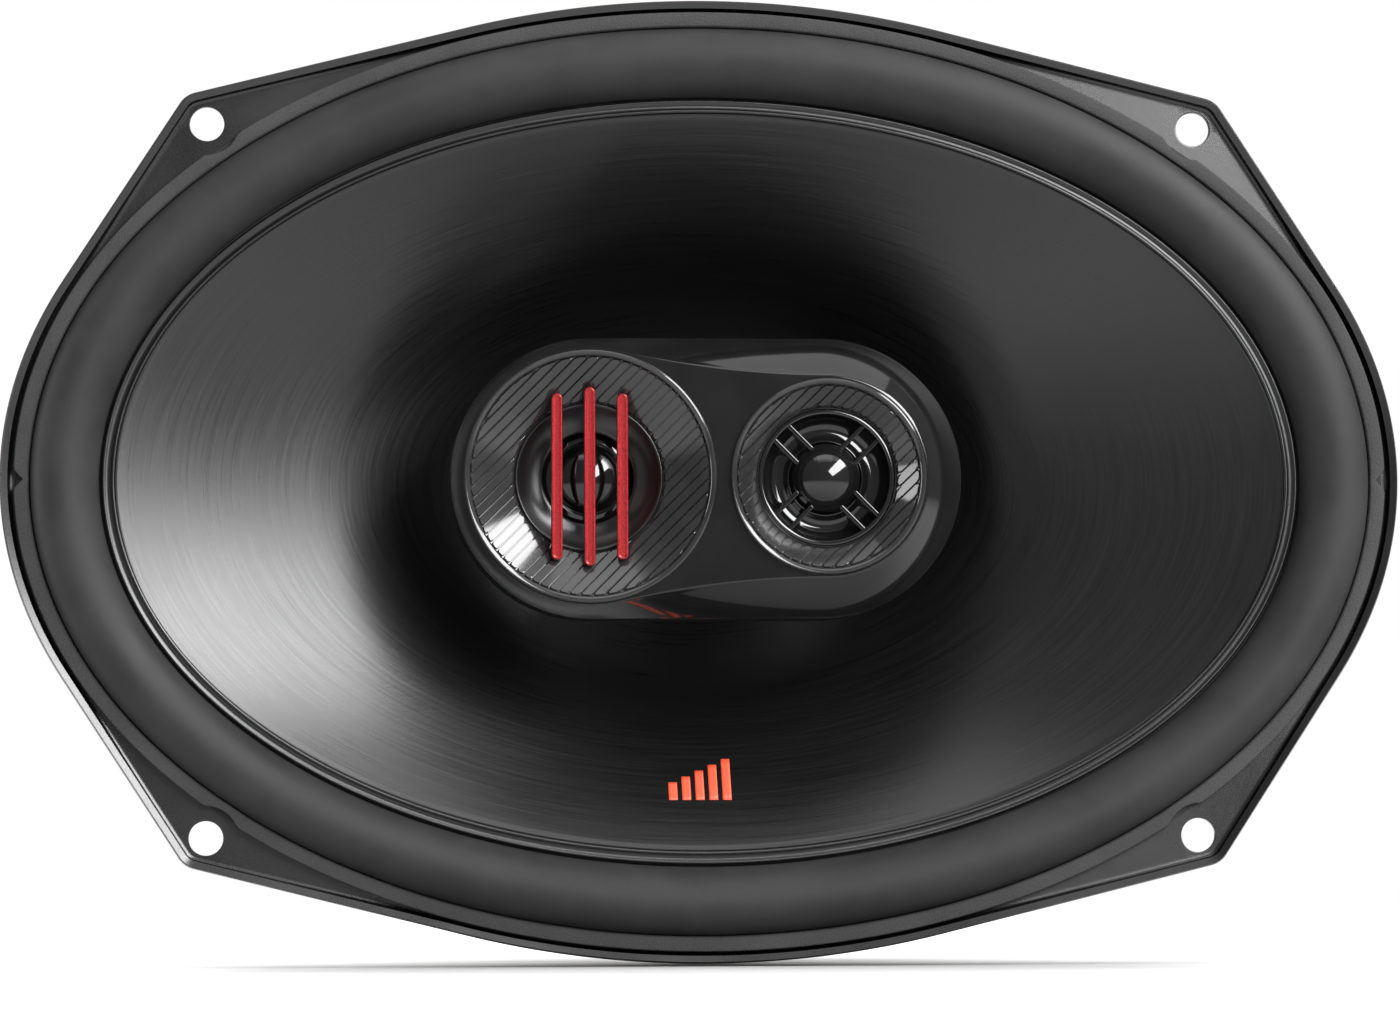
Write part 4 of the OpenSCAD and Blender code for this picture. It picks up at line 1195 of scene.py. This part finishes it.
def ribbed_bezel(name, node, centre, section, throat, mouth):
    """A funnel whose face carries slanting ridges with rounded ends, inside a plain rim."""
    shape = Shape()
    where = Matrix.Translation((centre, 0, 0))
    shape.lathe(section, where, 160)
    (r0, z0), (r1, z1) = throat, mouth
    slope = (z1 - z0) / (r1 - r0)
    pitch, half_groove = 1.5, 0.09
    turn = math.radians(45)
    c, s = math.cos(turn), math.sin(turn)
    count = int(r1 / pitch) + 1
    offsets = []
    for k in range(-count, count + 1):
        for step in (0.0, 0.09, 0.15, 0.24, 0.4, 0.6, 0.9, 1.1, 1.26, 1.35, 1.41):
            offsets.append(((k - 0.5) * pitch + step, k))
    offsets = [(v, k) for v, k in offsets if abs(v) < r1 - 0.02]
    fine = (0, 0.12, 0.19, 0.25, 0.33, 0.42, 0.52, 0.7, 1.0)

    def along(length):
        """Distances from one end of a ridge to the other, close together at both ends."""
        scale = min(1.0, length / 3.4)
        ends = [d * scale for d in fine]
        middle = spaced(ends[-1], length - ends[-1], 6)[1:-1]
        return ends + middle + [length - d for d in reversed(ends)]

    def height(u, v, k):
        reach = math.hypot(u, v)
        base = z0 + (reach - r0) * slope
        across = pitch / 2 - half_groove - abs(v - k * pitch)
        ends = min(reach - r0 - 0.14, r1 - 0.14 - reach)
        corner = 0.35
        if across < corner and ends < corner:
            inside = corner - math.hypot(corner - across, corner - ends)
        else:
            inside = min(across, ends)
        return base - 0.4 + 0.4 * min(max(inside / 0.06, 0), 1)

    rows = []
    for v, k in offsets:
        inner = math.sqrt(max(r0 * r0 - v * v, 0))
        outer = math.sqrt(max(r1 * r1 - v * v, 0))
        right = [inner + d for d in along(outer - inner)]
        row = [-u for u in reversed(right)] + right
        rows.append([(centre + u * c - v * s, u * s + v * c, height(u, v, k)) for u in row])
    base = len(shape.points)
    width = len(rows[0])
    half = width // 2
    for row in rows:
        shape.points.extend(row)
    for j in range(len(rows) - 1):
        for i in range(width - 1):
            if i == half - 1 and (abs(offsets[j][0]) < r0 or abs(offsets[j + 1][0]) < r0):
                continue
            a = base + j * width + i
            shape.faces.append((a, a + 1, a + 1 + width, a + width))
    made = piece(name, shape, "bezel", [node], weighted=False, weld=0.004)
    made.data.set_sharp_from_angle(angle=math.radians(35))


def make_bezels():
    left = [(20.05, 13.6), (20.1, 14.0), (20.3, 14.25), (20.65, 14.47), (20.85, 14.5), (21.05, 14.4),
            (21.18, 14.15), (21.2, 13.6), (21.1, 13.5), (20.4, 13.5), (20.4, 12.6), (13.0, 8.3), (12.5, 8.3),
            (12.4, 8.4), (12.4, 9.3), (12.5, 9.42), (12.62, 9.25), (12.65, 8.85), (19.6, 13.0)]
    ribbed_bezel("tweeter_bezel_ring", "tweeter_bezel", TWEETER_X, left, (12.6, 9.62), (20.1, 14.07))
    right = [(15.35, 13.6), (15.45, 14.0), (15.6, 14.22), (15.95, 14.47), (16.15, 14.5), (16.35, 14.4),
             (16.48, 14.15), (16.5, 13.6), (16.4, 13.5), (15.7, 13.5), (15.7, 12.6), (12.2, 9.4),
             (11.7, 9.4), (11.6, 9.5), (11.6, 10.4), (11.7, 10.52), (11.82, 10.35), (11.85, 9.9),
             (15.0, 12.9)]
    ribbed_bezel("supertweeter_bezel_ring", "supertweeter_bezel", SUPER_X, right, (11.8, 10.72),
                 (15.4, 14.02))


def dome_section(dome_r, dome_h, roll_r, edge_r):
    """A thin film: a dome, a small ridge at its edge and a sloping rim."""
    film, foot = 0.3, 5.2
    sphere = (dome_r ** 2 + dome_h ** 2) / (2 * dome_h)
    half = math.asin(dome_r / sphere)
    line = []
    for k in range(25):
        a = half * k / 24
        line.append((sphere * math.sin(a), foot + dome_h - sphere * (1 - math.cos(a))))
    crest = dome_r + 0.42
    line += [(dome_r + 0.08, foot + 0.25), (dome_r + 0.16, foot + 0.6), (dome_r + 0.26, foot + 0.7),
             (crest, foot + 0.68)]
    for k in range(1, 9):
        s = k / 8
        line.append((mix(crest, roll_r, s), foot + 0.68 * (1 - s) ** 0.8))
    line.append((edge_r, foot))
    return line + [(r, z - film) for r, z in reversed(line)]


def make_small_drivers():
    """What sits in the bridge behind the two openings."""
    left = Matrix.Translation((TWEETER_X, 0, 0))
    right = Matrix.Translation((SUPER_X, 0, 0))
    bowl = Shape()
    bowl.lathe([(7.7, 6.75), (7.7, 7.15), (7.8, 7.3), (8.0, 7.42), (8.4, 7.5), (9, 7.58), (9.6, 7.74),
                (10.2, 8.0), (10.8, 8.38), (11.3, 8.78), (11.8, 9.22), (12.15, 9.58), (12.3, 9.62),
                (12.38, 9.5), (12.35, 8.3), (11.8, 7.8), (11.8, 2.65), (11.75, 2.6), (10.25, 2.6),
                (10.2, 2.65), (10.2, 6.7)], left, 128)
    piece("tweeter_bowl", bowl, "satin", ["tweeter_horn"])
    films = (("tweeter", left, dome_section(6, 2.8, 8.6, 9.4), "film"),
             ("supertweeter", right, dome_section(5, 1.8, 7.6, 8.4), "dull_film"))
    for name, where, section, finish in films:
        dome = Shape()
        dome.lathe(section, where, 96)
        piece(name + "_dome_film", dome, finish, [name + "_diaphragm"], name + "_dome", weighted=False)
    for name, where, inner, outer in (("tweeter", left, 6.6, 7.2), ("supertweeter", right, 5.4, 6.0)):
        lathed(name + "_coil_winding", wall(inner, outer, 0.2, 4.88), "winding", [name + "_coil"],
               name + "_dome", edge=0.2, where=where)
    for name, where, r, gap in (("tweeter", left, 11.0, 7.6), ("supertweeter", right, 9.6, 6.4)):
        cup = [(0, -4.4), (r, -4.4), (r, 2.6), (gap, 2.6), (gap, 0.8), (r - 1.8, 0.8), (r - 1.8, -2.6),
               (0, -2.6)]
        lathed(name + "_cup_shell", cup, "zinc", [name + "_cup"], edge=0.35, where=where)
    for name, where, r, plate in (("tweeter", left, 5.6, 6.2), ("supertweeter", right, 4.5, 5.1)):
        lathed(name + "_magnet_disc", wall(0, r, -2.6, 0.8), "nickel", [name + "_magnet"], edge=0.3,
               where=where, sides=64)
        lathed(name + "_pole_disc", wall(0, plate, 0.8, 2.4), "zinc", [name + "_pole_plate"], edge=0.2,
               where=where, sides=64)


def make_red_guard():
    """Three slim upright bars across the bowl, each with a raised edge round a sunk face."""
    shape = Shape()
    for x in (-5.5, 0.0, 5.5):
        reach = math.sqrt(15.0 ** 2 - x ** 2)
        outline = box_outline(x - 0.95, -reach, x + 0.95, reach, 0.9, 6)
        levels = [(0.35, 11.0), (0.1, 11.05), (0, 11.25), (0, 12.05), (0.07, 12.28), (0.2, 12.4),
                  (0.34, 12.38), (0.44, 12.26), (0.56, 12.2)]
        shape.solid([[(TWEETER_X + px, py, z) for px, py, z in row] for row in stack(outline, levels)])
    piece("guard_bars", shape, "red", ["tweeter_guard"])


def make_super_guard():
    """A collar, four pairs of spokes and a round plug in one piece."""
    where = Matrix.Translation((SUPER_X, 0, 0))
    shape = Shape()
    shape.lathe([(8.9, 2.6), (11.4, 2.6), (11.5, 2.7), (11.5, 10.2), (11.4, 10.3), (10.8, 10.3),
                 (10.7, 10.2), (10.66, 9.6), (10.5, 8.8), (10.2, 8.1), (9.8, 7.55), (9.2, 7.1), (8.6, 6.85),
                 (8.0, 6.8), (7.4, 6.9), (6.9, 7.15), (6.5, 7.5), (6.25, 7.8), (6.1, 7.75), (6.05, 7.5),
                 (6.3, 7.1), (6.8, 6.7), (7.4, 6.45), (8.0, 6.35), (8.6, 6.35), (8.9, 6.2)], where, 128)
    sphere = (5.85 ** 2 + 3.6 ** 2) / (2 * 3.6)
    half = math.asin(5.85 / sphere)
    plug = [(0, 8.45), (5.2, 8.45), (5.65, 8.55), (5.8, 8.8)]
    for k in range(25):
        a = half * (1 - k / 24)
        plug.append((sphere * math.sin(a) * 0.995, 8.8 + 3.6 - sphere * (1 - math.cos(a))))
    shape.lathe(plug, where, 128)
    for k in range(4):
        turn = where @ Matrix.Rotation(math.radians(45 + 90 * k), 4, "Z")
        for side in (-1.7, 1.7):
            outline = box_outline(5.0, side - 0.4, 11.1, side + 0.4, 0.2, 2)
            shape.prism(outline, 8.6, 9.8, 0.2, turn, 3)
    piece("supertweeter_grille", shape, "gloss", ["supertweeter_guard"])


# ---------- studio ----------

def make_floor():
    """A pale round floor that fades out at its edge."""
    mesh = bpy.data.meshes.new("floor")
    work = bmesh.new()
    bmesh.ops.create_circle(work, cap_ends=True, segments=96, radius=0.75)
    work.to_mesh(mesh)
    work.free()
    floor = bpy.data.objects.new("floor", mesh)
    bpy.context.scene.collection.objects.link(floor)
    floor.location = (0, 0.03, cad_low.z - 0.0004)
    n = Nodes("floor_paper")
    n.set(Specular_IOR_Level=0.1)
    n.link(n.tint(n.noise(0.02, 3), (0.76, 0.76, 0.76), (0.78, 0.78, 0.78)), "Base Color")
    n.set(Roughness=0.9)
    x, y, _ = n.axes()
    reach = n.reach(x, y)
    n.link(n.span(reach, 0.35, 0.74, 1.0, 0.0), "Alpha")
    mesh.materials.append(n.material)
    return floor


def area_light(name, azimuth, slant, spread, length, radiance, receivers):
    """A soft box a metre away that faces the speaker and lights the receivers alone. Seen from the front
    it stands at the given angle from the right, slanted away from the speaker's axis; its length runs
    outwards from the axis."""
    turn, lean = math.radians(azimuth), math.radians(slant)
    away = Vector((math.sin(lean) * math.cos(turn), -math.cos(lean), math.sin(lean) * math.sin(turn)))
    across = Vector((-math.sin(turn), 0, math.cos(turn)))
    light = bpy.data.lights.new(name, "AREA")
    light.shape = "RECTANGLE"
    light.size = spread
    light.size_y = length
    light.energy = radiance * math.pi * spread * length
    box = bpy.data.objects.new(name, light)
    bpy.context.scene.collection.objects.link(box)
    box.location = away
    box.rotation_mode = "QUATERNION"
    rows = (across, away.cross(across), away)
    box.rotation_quaternion = Matrix(rows).transposed().to_quaternion()
    box.light_linking.receiver_collection = receivers


def make_world():
    """White where the camera looks straight into it, and a dim studio for everything else."""
    world = bpy.data.worlds.new("studio")
    bpy.context.scene.world = world
    world.use_nodes = True
    tree = world.node_tree
    tree.nodes.clear()
    out = tree.nodes.new("ShaderNodeOutputWorld")
    seen = tree.nodes.new("ShaderNodeBackground")
    seen.inputs[0].default_value = (1, 1, 1, 1)
    seen.inputs[1].default_value = 1.0
    lit = tree.nodes.new("ShaderNodeBackground")
    lit.inputs[0].default_value = (1, 1, 1, 1)
    lit.inputs[1].default_value = 0.32
    path = tree.nodes.new("ShaderNodeLightPath")
    join = tree.nodes.new("ShaderNodeMixShader")
    tree.links.new(path.outputs["Is Camera Ray"], join.inputs[0])
    tree.links.new(lit.outputs[0], join.inputs[1])
    tree.links.new(seen.outputs[0], join.inputs[2])
    tree.links.new(join.outputs[0], out.inputs[0])


def make_lights(floor):
    """One large soft box from the upper right, weak ones round it, and an even light over the floor alone."""
    speaker = bpy.data.collections.new("lit_by_studio")
    for made in bpy.context.scene.objects:
        if made.type == "MESH" and made is not floor:
            speaker.objects.link(made)
    ground = bpy.data.collections.new("lit_from_above")
    ground.objects.link(floor)
    area_light("key", 41, 51, 0.38, 1.25, 22, speaker)
    area_light("left", 172, 92, 0.5, 0.6, 9, speaker)
    area_light("top", 86, 86, 1.3, 1.1, 1.4, speaker)
    area_light("top_front", 90, 64, 0.7, 0.5, 1.1, speaker)
    area_light("floor_light", 90, 108, 2.2, 1.6, 4.4, ground)


def make_camera():
    """The camera stands a metre away, a little to the left of the speaker's axis and below it."""
    camera = bpy.data.objects.new("camera", bpy.data.cameras.new("camera"))
    bpy.context.scene.collection.objects.link(camera)
    azimuth, elevation, roll = math.radians(-4.343), math.radians(-3.428), math.radians(-0.196)
    back = Vector((math.sin(azimuth) * math.cos(elevation), -math.cos(azimuth) * math.cos(elevation),
                   math.sin(elevation)))
    camera.location = back
    turn = (-back).to_track_quat("-Z", "Y").to_matrix().to_4x4() @ Matrix.Rotation(roll, 4, "Z")
    camera.rotation_mode = "QUATERNION"
    camera.rotation_quaternion = turn.to_quaternion()
    camera.data.sensor_width = 36
    camera.data.lens = 151.59
    camera.data.shift_x = -0.0025
    camera.data.shift_y = -0.019
    camera.data.clip_start = 0.01
    camera.data.clip_end = 50
    bpy.context.scene.camera = camera


def main():
    make_camera()
    make_basket()
    make_board_tab()
    make_gasket()
    make_cone()
    make_surround()
    make_spider()
    make_small_moving_parts()
    make_cone_print()
    make_motor()
    make_post()
    make_terminals()
    make_leads()
    make_fascia()
    make_housing()
    make_bezels()
    make_small_drivers()
    make_red_guard()
    make_super_guard()
    floor = make_floor()
    make_world()
    make_lights(floor)
    bpy.context.scene.view_settings.view_transform = "Standard"


main()
